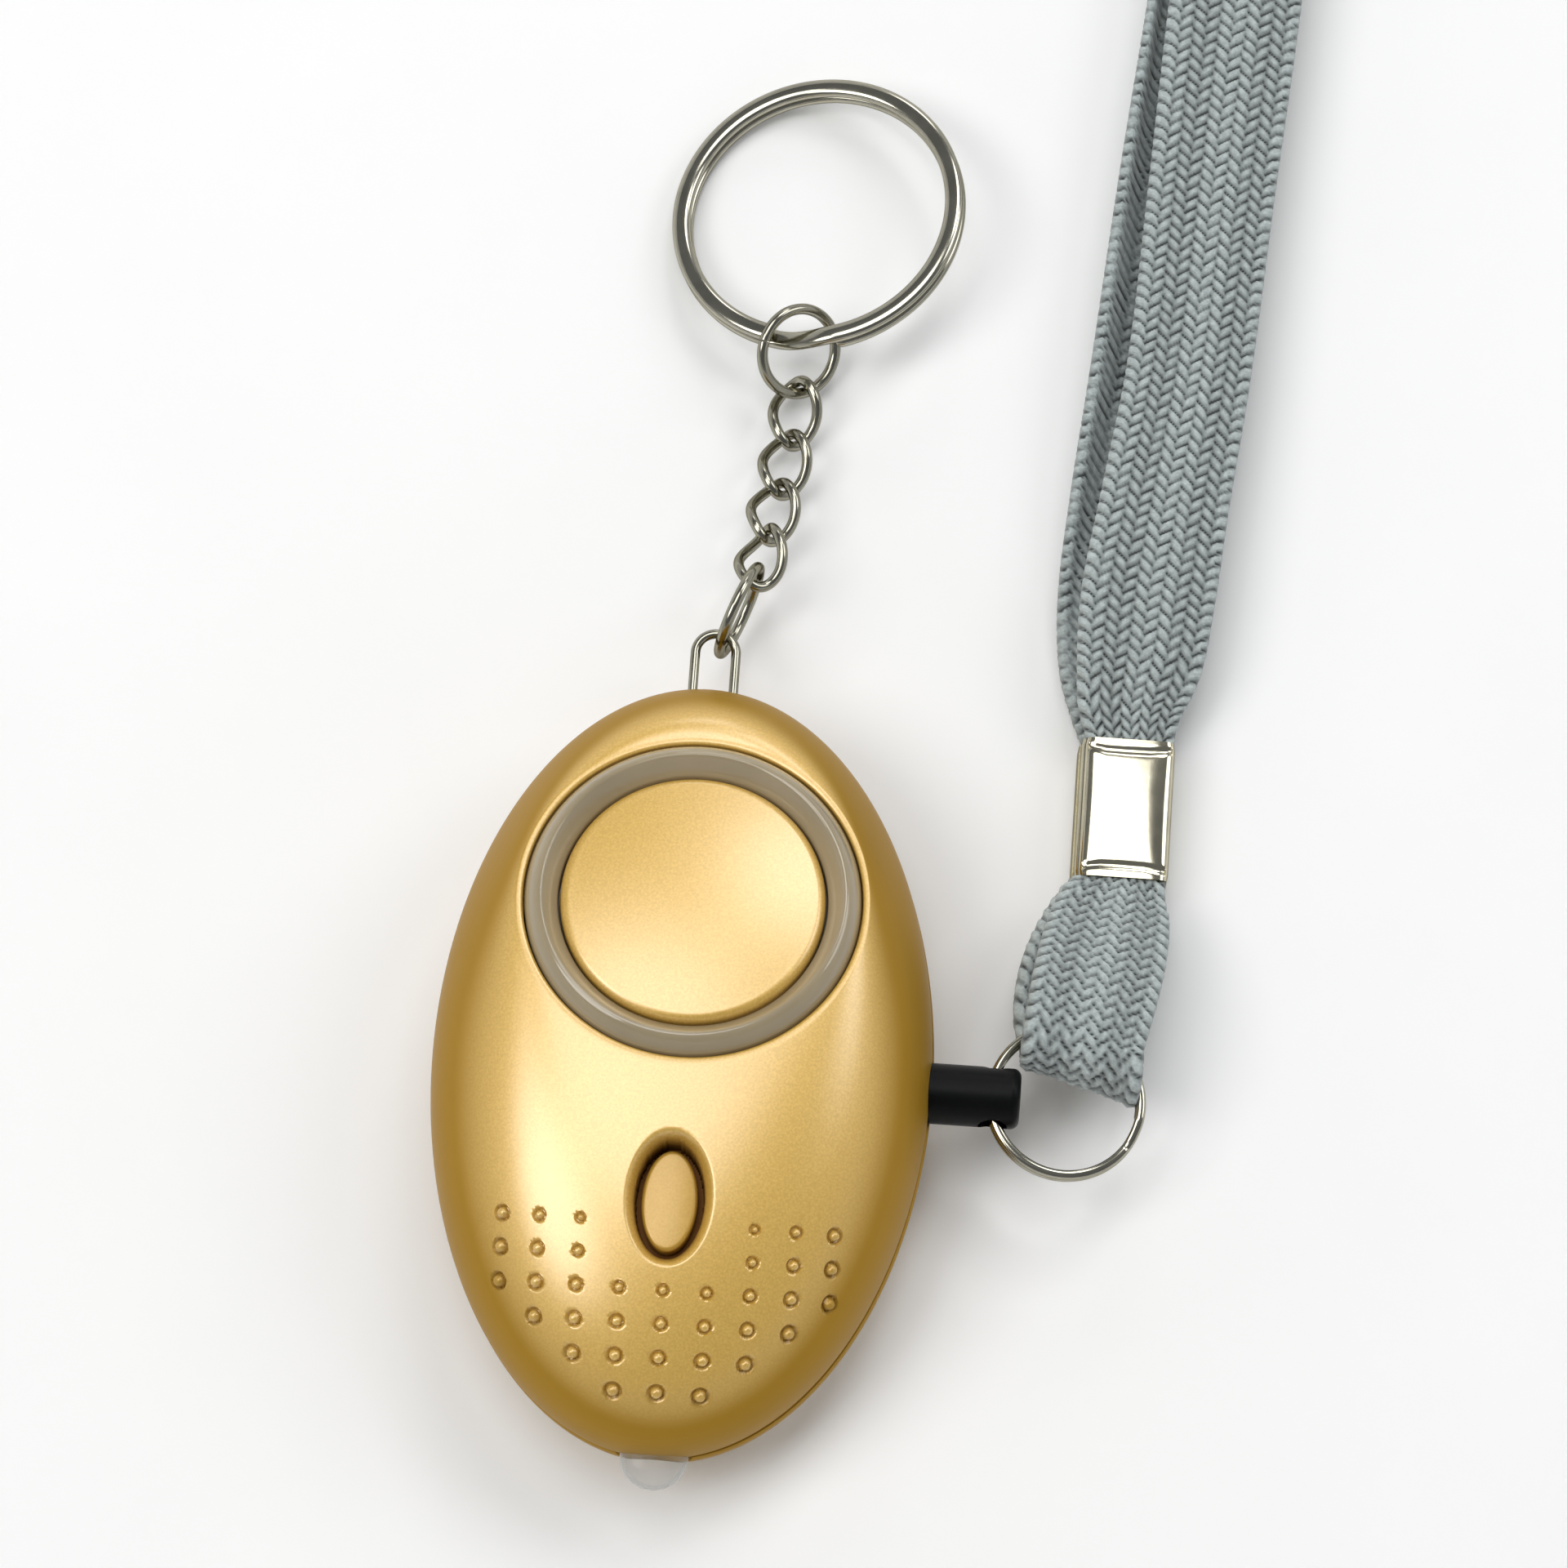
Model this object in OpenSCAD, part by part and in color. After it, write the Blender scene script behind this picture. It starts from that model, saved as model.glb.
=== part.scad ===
// Pull-pin personal safety alarm with key ring and wrist strap.
// X is to the right, Y runs along the case towards the key ring, Z is up out of the front.
// The origin is the middle of the flat rest face on the back. Millimetres.

/* [Case] */
// Length of the egg-shaped case
case_len = 65; // [62:1:72]
// Width of the case
case_wid = 41; // [40:1:46]
// Height of the front shell above the parting plane
front_h = 12; // [11.5:0.5:14]
// Height of the parting plane above the rest face
back_h = 8; // [7.6:0.2:9]
// How far the back would reach down if it were not cut flat, past the rest face
back_extra = 1; // [0.6:0.1:2]
// Wall thickness of both shells
wall = 1.6; // [1.2:0.1:1.8]
// Roundness exponent of the front dome, 2 is an ellipse
front_round = 2.4; // [2.2:0.1:2.8]
// Roundness exponent of the back
back_round = 2.6; // [2.4:0.1:3]

/* [Siren] */
// Place of the siren's centre along the case
siren_y = 12.5; // [11.5:0.5:13.5]
// Depth of the siren's rim plane below the top of the dome, at its centre
siren_drop = 2.1; // [1.8:0.1:2.6]
// Lean of the siren towards the key ring
siren_tilt = 8.5; // [6:0.5:10]
// Radius of the opening that holds the light ring
siren_r = 13.8; // [13:0.1:14.2]
// Width of the light ring as seen from the front
light_w = 2.7; // [2:0.1:3.2]
// Height of the light ring's crest above the rim plane
light_crest = 1.2; // [0.6:0.1:1.8]
// Depth of the light ring's seat below the rim plane
light_seat = 4; // [3.6:0.1:4.4]
// Depth of the sound chamber below the light ring's seat
chamber_h = 3.2; // [3:0.1:3.4]
// Radius of the sounder's brass plate, less than the chamber it sits in
piezo_rim = 1.1; // [0.9:0.1:1.4]

/* [Lamp button] */
// Place of the button's centre along the case
button_y = -12.7; // [-13.5:0.1:-12]
// Width of the button
button_wid = 4.5; // [4:0.1:5]
// Length of the button
button_len = 8.3; // [7.6:0.1:9]
// Gap round the button
button_gap = 0.6; // [0.4:0.1:0.8]
// How far the button's face lies below the dome
button_sink = 1.3; // [1:0.1:1.6]
// Travel of the button
button_travel = 0.3; // [0.2:0.05:0.4]

/* [Grip beads] */
// Radius of a bead
bead_r = 0.7; // [0.5:0.05:0.9]
// Spacing of the columns of beads
bead_step_x = 3.53; // [3.3:0.01:3.7]
// Spacing of the rows of beads
bead_step_y = 2.6; // [2.4:0.05:2.8]
// Place of the top row of beads along the case
bead_top_y = -14.8; // [-15.4:0.1:-14]

/* [Torch] */
// Diameter of the torch LED
led_d = 5.6; // [5:0.1:6]
// How far the LED's tip sticks out of the case
led_out = 1.9; // [1.4:0.1:2.6]

/* [Pull pin and its ring] */
// Diameter of the pin
pin_d = 5; // [4.6:0.1:5.2]
// How far the pin sticks out of the case
pin_out = 7.2; // [7:0.1:8]
// Distance of the cross hole from the pin's outer end
pin_hole_in = 2.15; // [2:0.05:2.4]
// Diameter of the cross hole
pin_hole_d = 2.5; // [2.4:0.05:2.7]
// Outer diameter of the pin ring
pin_ring_d = 13.2; // [12.8:0.1:14]
// Wire of the pin ring, measured across its face
pin_ring_wire = 0.8; // [0.7:0.05:0.9]
// Wire of the pin ring, measured along its axis
pin_ring_thick = 0.7; // [0.6:0.05:0.75]
// Droop of the pin ring
pin_ring_droop = 6; // [3:1:8]

/* [Bail and chain] */
// Wire of the bail
bail_wire = 0.8; // [0.7:0.05:0.9]
// Spacing of the bail's two legs
bail_wid = 3.4; // [3.2:0.1:3.8]
// How far the bail sticks out of the case
bail_out = 6; // [5.6:0.1:6.6]
// Wire of the two jump rings
jump_wire = 0.9; // [0.8:0.05:1]
// Outer diameter of the lower jump ring
lower_jump_d = 8.8; // [8.4:0.1:9.4]
// Outer diameter of the upper jump ring
upper_jump_d = 8.2; // [8.1:0.1:8.8]
// Wire of a chain link
link_wire = 0.85; // [0.75:0.05:0.9]
// Length of a chain link
link_len = 6.8; // [6.6:0.1:7.6]
// Width of a chain link
link_wid = 4.6; // [4.5:0.1:5]
// Outer diameter of the key ring
key_ring_d = 25.2; // [24:0.2:30]
// Wire of the key ring, measured across its face
key_ring_wire = 1.6; // [1.3:0.05:1.65]
// Wire of the key ring, measured along its axis
key_ring_thick = 1; // [0.8:0.05:1.05]

/* [Strap] */
// Thickness of the braided strap
strap_thick = 1.8; // [1.5:0.1:1.9]
// Width of the strap inside the clasp
strap_neck = 7.4; // [7:0.1:7.6]
// Length of the clasp
clasp_len = 12; // [11:0.5:13]
// Sheet thickness of the clasp
clasp_sheet = 0.4; // [0.3:0.05:0.5]

/* [Inside] */
// Thickness of the circuit board
board_t = 1.2; // [1:0.1:1.4]
// Gap between the parting plane and the board
board_lift = 2.2; // [2.1:0.1:2.4]
// Height of the switch body
switch_h = 3; // [2.8:0.1:3.2]
// Height of the switch stem above its body
stem_h = 1; // [0.9:0.1:1.2]
// Diameter of a button cell
cell_d = 11.6; // [11:0.1:11.8]
// Thickness of a button cell
cell_h = 4.2; // [3.6:0.1:4.2]
// Sheet thickness of the battery contacts
contact_t = 0.3; // [0.2:0.05:0.3]
// Diameter of a case screw's shank
screw_d = 1.9; // [1.6:0.1:2]
// Length of a case screw's shank
screw_len = 7.4; // [6.6:0.2:8]

/* [Hidden] */
$fn = 80;

// Clearances: sliding fit and loose seat, then the overrun of a cut, of a joined face and of an open end
fit = 0.05;
seat_gap = 0.1;
cut = 0.5;
skim = 0.01;
far = 60;

// Case
half_len = case_len / 2;
half_wid = case_wid / 2;
part_z = back_h;
profile_steps = 14;
in_len = half_len - wall;
in_wid = half_wid - wall;
in_front = front_h - wall;
in_back = back_h + back_extra - wall;

// Height of the outer front surface above a place on the parting plane
function dome_z(x, y) =
    let (rho = sqrt(pow(x / half_wid, 2) + pow(y / half_len, 2)))
    part_z + front_h * pow(max(0, 1 - pow(rho, front_round)), 1 / front_round);

// Siren, in its own tilted frame
siren_z = part_z + front_h - siren_drop;
ledge_t = 1;
cap_gap = 0.2;
cap_rise = 0.2;
shelf_w = 1.25;
ledge_w = 1.4;
collar_w = 1.4;
rim_w = 0.6;
skirt_run = 2;
skirt_h = 3;
cap_r = siren_r - seat_gap - light_w - cap_gap;
shelf_z = -2.6;
shelf_in = cap_r - shelf_w;
chamber_r = siren_r - ledge_w - seat_gap;
chamber_wall = 1;
piezo_step = 1.4;
piezo_r = chamber_r - piezo_rim;
piezo_t = 0.25;
ceramic_r = 9;
piezo_z = -light_seat - piezo_step;

// Board and what stands on it
board_z = part_z + board_lift;
board_top = board_z + board_t;
board_x = 12;
board_end = 14.5;
board_low = board_end - half_len;
board_high = 4;
post_r = 1.4;
post_foot = 2;
post_x = 10.5;
post_y = -13;
mid_post_y = 1;
switch_w = 6;
stem_r = 1.7;
button_foot = board_top + switch_h + stem_h;
button_top = dome_z(0, button_y) - button_sink;
flange_w = 0.95;
flange_t = 0.8;
bevel_ledge = 0.25;
bevel_w = 0.8;
bevel_drop = 0.75;

// Grip beads: in each row, the first and last column away from the middle
bead_columns = [[2, 4], [2, 4], [0, 4], [0, 3], [0, 2], [0, 1]];
bead_sunk = 0.25;
bead_fan = 0.012;
bead_bow = 0.003;
function bead_x(k) = bead_step_x * k - bead_fan * pow(k, 3);
function bead_y(row, x) = bead_top_y - bead_step_y * row + bead_bow * x * x;

// Torch
led_r = led_d / 2;
led_rim = 0.4;
led_rim_t = 1;
led_tip = -half_len - led_out;
led_mid = led_tip + led_r;
led_body = 5.8;
led_root = led_mid + led_body;
lead_r = 0.3;
lead_x = 1.27;
lead_in = 1;
lead_turn = board_low + lead_in;

// Pull pin
pin_r = pin_d / 2;
pin_tip = half_wid + pin_out;
pin_deep = 7;
pin_inner = half_wid - pin_deep;
pin_lead_in = 0.4;
pin_hole_x = pin_tip - pin_hole_in;
tongue_w = 3;
tongue_t = 1.6;
tongue_len = 7;
pin_edge = 0.7;
guide_wall = 1.5;
leaf_t = 0.3;
leaf_len = 3.4;
leaf_gap = 0.05;
leaf_back = 0.8;
leaf_in = 0.3;
leaf_side = 0.6;
leaf_x = pin_inner - tongue_len + leaf_back;

// Split rings: two turns with one short climb
climb = 24;
coil_gap = 0.05;
split_sides = 8;
split_steps = 30;
end_room = 2;
key_ring_end = 196;
pin_ring_end = -8;
pin_ring_slack = 0.25;
pin_ring_side = 0.2;
pin_ring_r = (pin_ring_d - pin_ring_wire) / 2;
pin_ring_mid = [pin_hole_x + pin_ring_r * cos(pin_ring_droop) - pin_ring_slack, pin_ring_side,
                part_z - pin_ring_r * sin(pin_ring_droop)];

// Bail
bail_r = bail_wid / 2;
bail_tip = half_len + bail_out;
bail_arch = bail_tip - bail_wire / 2 - bail_r;
bail_deep = 4;
bail_foot = half_len - bail_deep;
bail_toe = 1.6;
block_wall = 1.6;
led_wall = 1.2;
block_start = 0.3;
bail_block_x = bail_r + bail_toe + led_wall;

// Chain: each element is aimed by a turn from +Y towards +X, a lift and a roll that lifts the right
link_gap = 0.26;
key_slack = 0.75;
chain_turn = [21, 8, 8, 8, 5, -5, 5];
chain_lift = [-16, -17, -16, -10, 0, 30, -5];
chain_roll = [90, 20, 0, 0, 0, -31, 13];
link_twist = 45;
link_steps = 32;
link_sides = 8;
lower_slit = 100;
upper_slit = 70;
chain_size = [lower_jump_d, link_len, link_len, link_len, link_len, upper_jump_d, key_ring_d];
chain_wire = [jump_wire, link_wire, link_wire, link_wire, link_wire, jump_wire, key_ring_wire];
hook_start = [0.5, bail_tip - bail_wire - link_gap / 2, part_z];
function chain_reach(i) = chain_size[i] / 2 - chain_wire[i] - link_gap / 2;
function aim(i) = [sin(chain_turn[i]) * cos(chain_lift[i]), cos(chain_turn[i]) * cos(chain_lift[i]),
                   sin(chain_lift[i])];
function hook(i) = i == 0 ? hook_start
    : hook(i - 1) + (2 * chain_reach(i - 1) - (i == 6 ? key_slack : 0)) * aim(i - 1);
function chain_mid(i) = hook(i) + chain_reach(i) * aim(i);

// Clasp and strap
layer_gap = 0.1;
clasp_in_h = 2 * strap_thick + layer_gap + 2 * fit;
clasp_in_w = strap_neck + 2 * fit;
clasp_h = clasp_in_h + 2 * clasp_sheet;
clasp_w = clasp_in_w + 2 * clasp_sheet;
clasp_round = 1.2;
clasp_seam = 0.3;
clasp_x = 34.8;
clasp_y = 26.4;
clasp_lift = 0.15;
clasp_z = clasp_lift + clasp_h / 2;
layer_z = (strap_thick + layer_gap) / 2;
strap_sides = 12;
edge_power = 0.35;
face_power = 0.5;

// Both layers of the strap where they lie in the clasp
top_layer = clasp_z + layer_z;
low_layer = clasp_z - layer_z;
clasp_far = clasp_y + clasp_len / 2;
clasp_near = clasp_y - clasp_len / 2;

// Fold round the pin ring: cupped and leaning like the part of the ring that lies in it
fold_x = 32.6;
fold_y = 5;
fold_z = part_z - (fold_x - pin_hole_x) * tan(pin_ring_droop);
fold_r = 2.5;
fold_wid = 8.4;
fold_turn = 11;
fold_bow = 1.4;

// Route of the wrist loop: place, width and turn of the strap's face
wrist_route = [
    [clasp_x, clasp_y, top_layer, strap_neck, 0], [clasp_x, clasp_far, top_layer, strap_neck, 0],
    [35, 35.6, 4.2, 9, 2], [35.5, 39.5, 4.9, 10.6, 4], [35.9, 45, 5.2, 11.2, 4], [36.9, 54, 5.2, 10.8, 4],
    [38.2, 65, 5.1, 10.5, 4], [39.3, 82, 5, 10.8, 4], [40.4, 99, 4.9, 11.3, 4], [41.6, 118, 4.9, 11, 4],
    [42.7, 136, 4.9, 11, 4], [43.6, 150, 4.9, 10.8, 4], [43.9, 155, 4.7, 10.8, 4], [44.05, 157.5, 4, 10.8, 4],
    [44.1, 158.3, 3, 10.8, 4], [44, 157.5, 2, 10.8, 4], [43.8, 155, 1.3, 10.8, 4], [43.3, 150, 1.1, 10.8, 5],
    [41.7, 136, 1.05, 10.8, 6], [40, 118, 1.05, 10.8, 6], [38.4, 100, 1.05, 10.8, 5],
    [36.6, 82, 1.05, 10.6, 5], [35.2, 65, 1.05, 10.6, 4], [34.3, 54, 1.05, 10.8, 3],
    [33.8, 45, 1.05, 10.8, 0], [33.9, 39.5, 1.05, 10, -2], [34.4, 35.6, 1.2, 8.6, -2],
    [clasp_x, clasp_far, low_layer, strap_neck, 0],
    [clasp_x, clasp_y, low_layer, strap_neck, 0]];

// Route of the short loop round the pin ring, with a share of the fold's cup after the turn
loop_route = concat(
    [[clasp_x, clasp_y, top_layer, strap_neck, 0], [clasp_x, clasp_near, top_layer, strap_neck, 0],
     [34.5, 17.6, 4.6, 9.4, 2], [33.9, 13.6, 6.8, 10.4, 5, 0.2], [33.2, 9.2, 9, 9.8, 8, 0.6]],
    [for (a = [0 : 30 : 180])
        [fold_x, fold_y - fold_r * sin(a), fold_z + fold_r * cos(a), fold_wid, fold_turn, 1]],
    [[31.8, 8.6, fold_z - 2.9, 9.4, 8, 0.6], [32.2, 12.6, 3.6, 9.8, 3, 0.2], [33.6, 17.2, 2.1, 8.8, 1],
     [clasp_x, clasp_near, low_layer, strap_neck, 0], [clasp_x, clasp_y, low_layer, strap_neck, 0]]);

// Battery: three cells lying flat under the board, wired in series
cell_r = cell_d / 2;
cell_gap = 0.4;
cell_pair_x = cell_r + cell_gap / 2;
cell_pair_y = -3.5;
cell_third_y = cell_pair_y - sqrt(pow(cell_d + cell_gap, 2) - pow(cell_pair_x, 2));
cell_z = wall + contact_t;
cell_top = cell_z + cell_h;
pad_r = 2.5;
strip_w = 3;
tab_w = 2;

// Screws: each pair stands off the middle and in from the end of the case
screw_r = screw_d / 2;
screw_seat = 4.8;
head_r = 1.7;
head_h = 1.4;
boss_r = 2.3;
boss_h = 6;
well_r = 2.8;
screw_room = 0.4;
screw_low = [9, 11];
screw_high = [10.5, 9];
screw_places = [for (side = [-1, 1], end = [0, 1])
    end == 0 ? [side * screw_low[0], screw_low[1] - half_len]
             : [side * screw_high[0], half_len - screw_high[1]]];

// Shared colours
gold = [0.80, 0.63, 0.32];
nickel = [0.78, 0.77, 0.73];
grey = [0.58, 0.62, 0.64];
black = [0.06, 0.06, 0.07];
cream = [0.93, 0.92, 0.88];
copper = [0.72, 0.45, 0.25];
brass = [0.80, 0.66, 0.35];
green = [0.10, 0.38, 0.22];

// Curved half of the egg: a superellipse turned about Z, then stretched along Y
module egg_half(wid, len, height, power) {
    scale([1, len / wid, 1])
        rotate_extrude()
            polygon(concat([[0, 0]],
                [for (i = [0 : profile_steps])
                    let (a = 90 * i / profile_steps)
                    [wid * pow(cos(a), 2 / power), height * pow(sin(a), 2 / power)]]));
}

// Places a shape in the siren's tilted frame, with Z along its axis from the rim plane
module in_siren() {
    translate([0, siren_y, siren_z]) rotate([-siren_tilt, 0, 0]) children();
}

// Everything above or below the parting plane
module upper_half() {
    translate([-far, -far, part_z]) cube([2 * far, 2 * far, far]);
}

module lower_half() {
    translate([-far, -far, -far]) cube([2 * far, 2 * far, far + part_z]);
}

// Outer volume of each shell
module front_outer() {
    translate([0, 0, part_z]) egg_half(half_wid, half_len, front_h, front_round);
}

module back_outer() {
    intersection() {
        translate([0, 0, part_z]) mirror([0, 0, 1])
            egg_half(half_wid, half_len, back_h + back_extra, back_round);
        translate([-far, -far, 0]) cube([2 * far, 2 * far, far]);
    }
}

module back_inner() {
    intersection() {
        translate([0, 0, part_z]) mirror([0, 0, 1]) egg_half(in_wid, in_len, in_back, back_round);
        translate([-far, -far, wall]) cube([2 * far, 2 * far, far]);
    }
}

// Round blocks that hold the pin, the torch and the bail, split between the shells
module hold_blocks() {
    translate([pin_inner + block_start, 0, part_z]) rotate([0, 90, 0])
        cylinder(r = pin_r + guide_wall, h = half_wid - pin_inner);
    translate([0, led_root + block_wall, part_z]) rotate([90, 0, 0])
        cylinder(r = led_r + led_rim + led_wall, h = half_len + led_root);
    translate([-bail_block_x, bail_foot - block_wall, part_z - block_wall])
        cube([2 * bail_block_x, half_len - bail_foot, 2 * block_wall]);
}

// Room for the pin, the torch and the bail inside those blocks
module hold_cuts() {
    translate([pin_inner - cut, 0, part_z]) rotate([0, 90, 0]) cylinder(r = pin_r + fit, h = far);
    translate([0, led_root - led_rim_t, part_z]) rotate([90, 0, 0]) cylinder(r = led_r + fit, h = far);
    translate([0, led_root + far, part_z]) rotate([90, 0, 0])
        cylinder(r = led_r + led_rim + fit, h = far + led_rim_t + fit);
    for (side = [-1, 1]) {
        translate([side * bail_r, bail_foot - bail_wire / 2 - fit, part_z]) rotate([-90, 0, 0])
            cylinder(r = bail_wire / 2 + fit, h = far);
        translate([side * (bail_r - bail_wire / 2), bail_foot, part_z]) rotate([0, side * 90, 0])
            cylinder(r = bail_wire / 2 + fit, h = bail_toe + bail_wire / 2 + fit);
    }
}

// Front shell: dome, siren well, screw bosses, button opening and grip beads
module front_shell() {
    color(gold) {
        difference() {
            union() {
                difference() {
                    front_outer();
                    translate([0, 0, part_z - skim])
                        egg_half(in_wid, in_len, in_front + skim, front_round);
                }
                intersection() {
                    union() {
                        in_siren() siren_well();
                        for (p = screw_places)
                            translate([p[0], p[1], part_z]) cylinder(r = boss_r, h = boss_h);
                        hold_blocks();
                    }
                    union() {
                        front_outer();
                        in_siren() rim_skirt();
                    }
                    upper_half();
                }
                in_siren() rim_skirt();
                grip_beads();
            }
            in_siren() {
                translate([0, 0, -light_seat]) cylinder(r = siren_r, h = far);
                translate([0, 0, -far]) cylinder(r = siren_r - ledge_w, h = 2 * far);
            }
            button_opening();
            hold_cuts();
            for (p = screw_places)
                translate([p[0], p[1], part_z - cut])
                    cylinder(r = screw_r + fit, h = screw_seat + screw_len + screw_room - part_z + cut);
        }
    }
}

// Raised beads in rows that narrow towards the torch
module grip_beads() {
    for (row = [0 : len(bead_columns) - 1], k = [-4 : 4]) {
        columns = bead_columns[row];
        x = bead_x(k);
        y = bead_y(row, x);
        if (abs(k) >= columns[0] && abs(k) <= columns[1])
            translate([x, y, dome_z(x, y) - bead_sunk]) sphere(r = bead_r);
    }
}

// Wall and ledge that hold the light ring
module siren_well() {
    translate([0, 0, -light_seat - ledge_t])
        cylinder(r = siren_r + collar_w, h = light_seat + ledge_t);
}

// Low cone that brings the dome up to the rim plane beside the siren
module rim_skirt() {
    translate([0, 0, -skirt_h]) cylinder(r1 = siren_r + rim_w + skirt_run, r2 = siren_r + rim_w, h = skirt_h);
}

// Oval outline of four arcs: round ends and long sides that meet them without a corner
module oval(wid, length) {
    b = wid / 2;
    a = length / 2;
    end_share = 0.62;
    end_r = end_share * b;
    reach = a - end_r;
    side_r = (b * b - end_r * end_r + reach * reach) / (2 * (b - end_r));
    meet_y = side_r * reach / (side_r - end_r);
    for (side = [-1, 1]) translate([0, side * reach]) circle(r = end_r);
    intersection() {
        translate([side_r - b, 0]) circle(r = side_r);
        translate([b - side_r, 0]) circle(r = side_r);
        square([2 * wid, 2 * meet_y], center = true);
    }
}

// Oval hole for the button with a bevelled recess that leaves a narrow ledge round it
module button_opening() {
    hole_w = button_wid + 2 * button_gap;
    hole_l = button_len + 2 * button_gap;
    ledge_r = hole_w / 2 + bevel_ledge;
    edge_z = dome_z(0, button_y) - bevel_drop;
    translate([0, button_y, 0]) {
        translate([0, 0, board_top]) linear_extrude(far) oval(hole_w, hole_l);
        translate([0, 0, edge_z]) scale([1, (hole_l / 2 + bevel_ledge) / ledge_r, 1])
            cylinder(r1 = ledge_r, r2 = ledge_r + 2 * bevel_w, h = 2 * bevel_drop);
    }
}

// Back shell: flat rest face, screw wells and posts for the board
module back_shell() {
    color(gold) {
        difference() {
            union() {
                difference() {
                    back_outer();
                    back_inner();
                }
                intersection() {
                    union() {
                        for (p = screw_places)
                            translate([p[0], p[1], 0]) cylinder(r = well_r, h = part_z);
                        hold_blocks();
                    }
                    back_outer();
                    lower_half();
                }
                for (side = [-1, 1])
                    translate([side * post_x, post_y, post_foot])
                        cylinder(r = post_r, h = board_z - post_foot);
                translate([0, mid_post_y, wall / 2]) cylinder(r = post_r, h = board_z - wall / 2);
            }
            hold_cuts();
            for (p = screw_places)
                translate([p[0], p[1], 0]) {
                    translate([0, 0, -cut]) cylinder(r = head_r + seat_gap, h = screw_seat + cut);
                    cylinder(r = screw_r + fit, h = far);
                }
        }
    }
}

// Translucent ring: seat, raised crest and the inner shelf that carries the cap
module light_ring() {
    outer = siren_r - seat_gap;
    inner = outer - light_w;
    color([0.72, 0.69, 0.63]) in_siren()
        rotate_extrude()
            polygon(concat(
                [[shelf_in, -light_seat], [outer, -light_seat]],
                [for (i = [0 : 8])
                    let (a = 180 * i / 8)
                    [(outer + inner) / 2 + light_w / 2 * cos(a), light_crest * sin(a)]],
                [[inner, shelf_z], [shelf_in, shelf_z]]));
}

// Gold cap: flat disc with a rounded edge on a notched skirt
module siren_cap() {
    skirt_in = 0.35;
    skirt_out = cap_r - skirt_in;
    skirt_wall = 0.8;
    disc_t = 1.2;
    edge = 0.6;
    notch = 3;
    notch_h = 0.9;
    under = cap_rise - disc_t;
    color(gold) in_siren() {
        difference() {
            rotate_extrude()
                polygon(concat(
                    [[0, under], [skirt_out - skirt_wall, under], [skirt_out - skirt_wall, shelf_z],
                     [skirt_out, shelf_z], [skirt_out, under], [cap_r, under]],
                    [for (i = [0 : 4])
                        let (a = 90 * i / 4)
                        [cap_r - edge + edge * cos(a), cap_rise - edge + edge * sin(a)]],
                    [[0, cap_rise]]));
            for (i = [0 : 3])
                rotate([0, 0, 45 * i]) translate([-cap_r, -notch / 2, shelf_z - cut])
                    cube([2 * cap_r, notch, notch_h + cut]);
        }
    }
}

// Cup below the light ring, with a step for the sounder and holes for its wires
module sound_chamber() {
    bottom = -light_seat - chamber_h;
    floor_t = 0.8;
    step_in = piezo_r - 1;
    wire_room = 0.25;
    hole_h = 4;
    color(cream) difference() {
        in_siren() rotate_extrude()
            polygon([[0, bottom], [chamber_r, bottom], [chamber_r, -light_seat],
                     [chamber_r - chamber_wall, -light_seat], [chamber_r - chamber_wall, piezo_z],
                     [step_in, piezo_z], [step_in, bottom + floor_t], [0, bottom + floor_t]]);
        for (w = wire_places)
            translate([w[0], w[1], board_top]) cylinder(r = lead_r + wire_room, h = hole_h);
    }
}

// Places of the sounder's two wires, one on the brass and one on the ceramic
wire_places = [[-1.2, 2.2], [1.2, 3.2]];

module piezo_plate() {
    color(brass) in_siren() translate([0, 0, piezo_z]) cylinder(r = piezo_r, h = piezo_t);
}

module piezo_ceramic() {
    color(cream) in_siren() translate([0, 0, piezo_z - piezo_t]) cylinder(r = ceramic_r, h = piezo_t);
}

// Height of a level in the siren's frame above a place in front of its axis
function siren_level(y, depth) =
    siren_z + depth / cos(siren_tilt) + (siren_y - y) * tan(siren_tilt);

module piezo_leads() {
    color("firebrick")
        for (i = [0 : 1])
            let (w = wire_places[i],
                 top = siren_level(w[1] + lead_r, piezo_z - (i == 0 ? 0 : piezo_t)) - fit)
            translate([w[0], w[1], board_top]) cylinder(r = lead_r, h = top - board_top);
}

// Oval push button with a flange that stops it below the shell and an eased top
module lamp_button() {
    ease = 0.3;
    color(gold) translate([0, button_y, button_foot]) {
        linear_extrude(flange_t) oval(button_wid + 2 * flange_w, button_len + 2 * flange_w);
        linear_extrude(button_top - button_foot - ease) oval(button_wid, button_len);
        linear_extrude(button_top - button_foot) oval(button_wid - 2 * ease, button_len - 2 * ease);
    }
}

module circuit_board() {
    color(green) translate([-board_x, board_low, board_z])
        cube([2 * board_x, board_high - board_low, board_t]);
}

// Switch body with a bore for its stem
module tact_switch() {
    bore_room = 0.4;
    color(black) translate([0, button_y, board_top]) difference() {
        translate([-switch_w / 2, -switch_w / 2, 0]) cube([switch_w, switch_w, switch_h]);
        translate([0, 0, switch_h - 2 * button_travel - bore_room]) cylinder(r = stem_r + fit, h = switch_h);
    }
}

module switch_plunger() {
    sunk = button_travel;
    color(cream) translate([0, button_y, board_top + switch_h - sunk])
        cylinder(r = stem_r, h = stem_h + sunk);
}

module driver_chip() {
    chip_len = 5;
    chip_wid = 4;
    chip_h = 1.5;
    chip_x = -9.5;
    chip_y = -10;
    color(black) translate([chip_x, chip_y, board_top]) cube([chip_len, chip_wid, chip_h]);
}

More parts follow.
